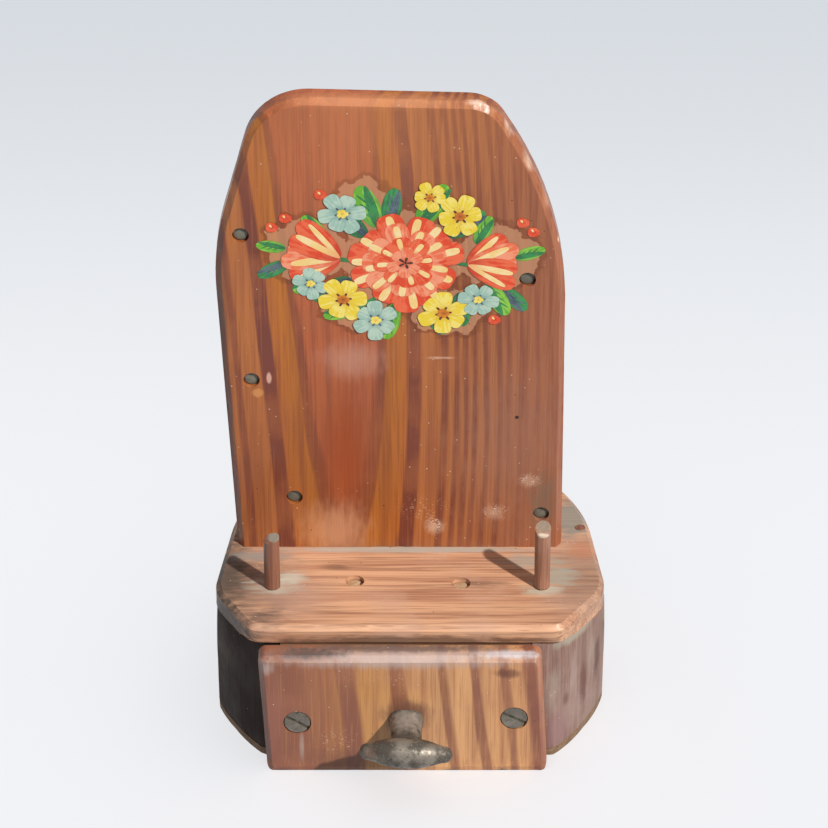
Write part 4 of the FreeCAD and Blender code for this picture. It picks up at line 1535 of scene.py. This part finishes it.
@dataclass
class Drawer(Assembly):
    """The drawer: a banded front laid over the mouth, a box behind it, and its fastenings."""

    body: str = "drawer"
    seats: tuple[tuple[Triple, float], ...] = (((-43.0, -71.1, 22.6), 148.0), ((39.0, -71.1, 24.6), 152.0))
    screw: SlottedScrew = SlottedScrew(4.95, 2.3, 1.3, 0.9, 2.0, 30.0, 2.0)

    def build(self) -> None:
        """Builds and dresses the drawer."""
        front = self.wood("drawer_front", "drawer_front_wood", FRONT, Wear(1.0, 0.15, 0.45, 3.0, 4))
        self.fit_front(front)
        box_wear = Wear(round_over=0.5, sway=0.1, nicks=0.2)
        for node in ("drawer_left_side", "drawer_right_side"):
            self.wood(node, "drawer_wood", DRAWER_SIDES, box_wear)
        for node in ("drawer_back", "drawer_bottom"):
            self.wood(node, "drawer_wood", DRAWER_ENDS, box_wear)
        self.screws("drawer_screws_slotted", "drawer_front_screws", self.screw, self.seats, FORWARDS, SCREW)
        rust = RUSTY_NAIL.material()
        self.refinish("nail_iron", rust, "drawer_bottom_nails", "drawer_corner_nails")
        self.refinish("screw_steel", rust, "pull_screw")

    def fit_front(self, piece: Piece) -> None:
        """Fills out the front's lower arris, which has stayed squarer than the rest, and raises its top.

        Args:
            piece: The drawer's front.
        """
        face, lip, foot, start, reach, fill = -71.9, -66.0, 0.1, 0.6, 3.2, 2.4
        brow, brow_height, rise = 44.0, 6.0, 0.9
        for vertex in piece.data.vertices:
            place = vertex.co / MM
            share = max(0.0, 1.0 - (place.z - start) / reach)
            if place.y < lip and share:
                ahead = max(face, place.y - fill * share)
                vertex.co = in_metres((place.x, min(place.y, ahead), max(foot, place.z - fill * share)))
            vertex.co.z += rise * min(1.0, max(0.0, (place.z - brow) / brow_height)) * MM
        settle_normals(piece.data)


@dataclass(frozen=True)
class Studio:
    """The floor, the light and the camera. Lengths are in millimetres and angles in degrees."""

    aim: Triple = (1.17, -4.7, 118.58)
    distance: float = 1591.2
    elevation: float = 33.87
    lens: float = 182.61
    floor_side: float = 12000.0
    floor_tint: str = "#f0f1f3"
    patch_tint: str = "#f4f4f5"
    far_tint: str = "#ccd1d6"
    far_span: Pair = (60.0, 600.0)
    far_share: float = 0.8
    key_from: Triple = (0.50, -0.52, 0.70)
    key_strength: float = 3.8
    key_width: float = 2.0
    key_tint: str = "#fff6ea"
    wash_from: Triple = (0.0, -0.1, 1.0)
    wash_strength: float = 2.25
    wash_width: float = 60.0
    sky_tint: str = "#e8ebf0"
    sky_strength: float = 0.38

    def build(self) -> None:
        """Sets up the floor, the light and the camera."""
        self.floor()
        self.camera()
        self.lights()

    def floor(self) -> None:
        """Lays a plain pale floor."""
        shape = bmesh.new()
        bmesh.ops.create_grid(shape, x_segments=2, y_segments=2, size=self.floor_side / 2 * MM)
        mesh = bpy.data.meshes.new("studio_floor")
        shape.to_mesh(mesh)
        shape.free()
        graph = Graph("floor_paper")
        soft = graph.cloud((0.002, 0.002, 0.002), 1.0, 1.0)
        fine = graph.cloud((0.6, 0.6, 0.6), 1.0, 2.0)
        colour = graph.mix(graph.span(soft, 0.3, 0.7, 0.0, 0.3), self.floor_tint, self.patch_tint)
        away = graph.vector("DOT_PRODUCT", graph.place, BACKWARDS)
        colour = graph.mix(graph.span(away, *self.far_span, 0.0, self.far_share), colour, self.far_tint)
        rough = graph.span(fine, 0.2, 0.8, 0.85, 0.95)
        mesh.materials.append(graph.finish(colour, rough, fine, 0.02, gloss=0.1))
        plane = bpy.data.objects.new("studio_floor", mesh)
        plane.visible_diffuse = False
        bpy.context.scene.collection.objects.link(plane)

    def camera(self) -> None:
        """Places the camera at the photograph's angle."""
        rise = math.radians(self.elevation)
        back = Vector((0.0, -math.cos(rise), math.sin(rise)))
        camera = bpy.data.objects.new("camera", bpy.data.cameras.new("camera"))
        camera.data.lens = self.lens
        camera.data.sensor_width = 36.0
        camera.location = in_metres(Vector(self.aim) + back * self.distance)
        camera.rotation_euler = (math.radians(90.0 - self.elevation), 0.0, 0.0)
        bpy.context.scene.collection.objects.link(camera)
        bpy.context.scene.camera = camera

    def sun(self, name: str, source: Triple, strength: float, width: float, colour: str) -> Piece:
        """Adds a lamp that is far away.

        Args:
            name: Its name.
            source: The direction that its light comes from.
            strength: Its strength.
            width: How wide it looks, in degrees.
            colour: Its colour.

        Returns:
            The lamp.
        """
        lamp = bpy.data.objects.new(name, bpy.data.lights.new(name, "SUN"))
        lamp.data.energy = strength
        lamp.data.angle = math.radians(width)
        lamp.data.color = tint(colour)[:3]
        lamp.rotation_euler = Vector(source).to_track_quat("Z", "Y").to_euler()
        bpy.context.scene.collection.objects.link(lamp)
        return lamp

    def lights(self) -> None:
        """Lights the piece from the front right, the floor evenly and all of it from a pale sky."""
        floor = bpy.data.objects["studio_floor"]
        key = self.sun("key_lamp", self.key_from, self.key_strength, self.key_width, self.key_tint)
        wash = self.sun("floor_lamp", self.wash_from, self.wash_strength, self.wash_width, "#ffffff")
        wash.data.use_shadow = False
        for lamp, state in ((key, "EXCLUDE"), (wash, "INCLUDE")):
            group = bpy.data.collections.new(f"{lamp.name}_reach")
            group.objects.link(floor)
            group.collection_objects[0].light_linking.link_state = state
            lamp.light_linking.receiver_collection = group
        world = bpy.data.worlds.new("pale_sky")
        world.use_nodes = True
        sky = world.node_tree.nodes["Background"]
        sky.inputs["Color"].default_value = tint(self.sky_tint)
        sky.inputs["Strength"].default_value = self.sky_strength
        bpy.context.scene.world = world
        bpy.context.scene.view_settings.view_transform = "Standard"


def main() -> None:
    """Builds the box, the spray on its board and the studio."""
    logging.basicConfig(level=logging.INFO, format="%(message)s")
    for part in (Base(), Shelf(), Back(), Spray(), Drawer(), Pull()):
        part.build()
    Studio().build()


if __name__ == "__main__":
    main()
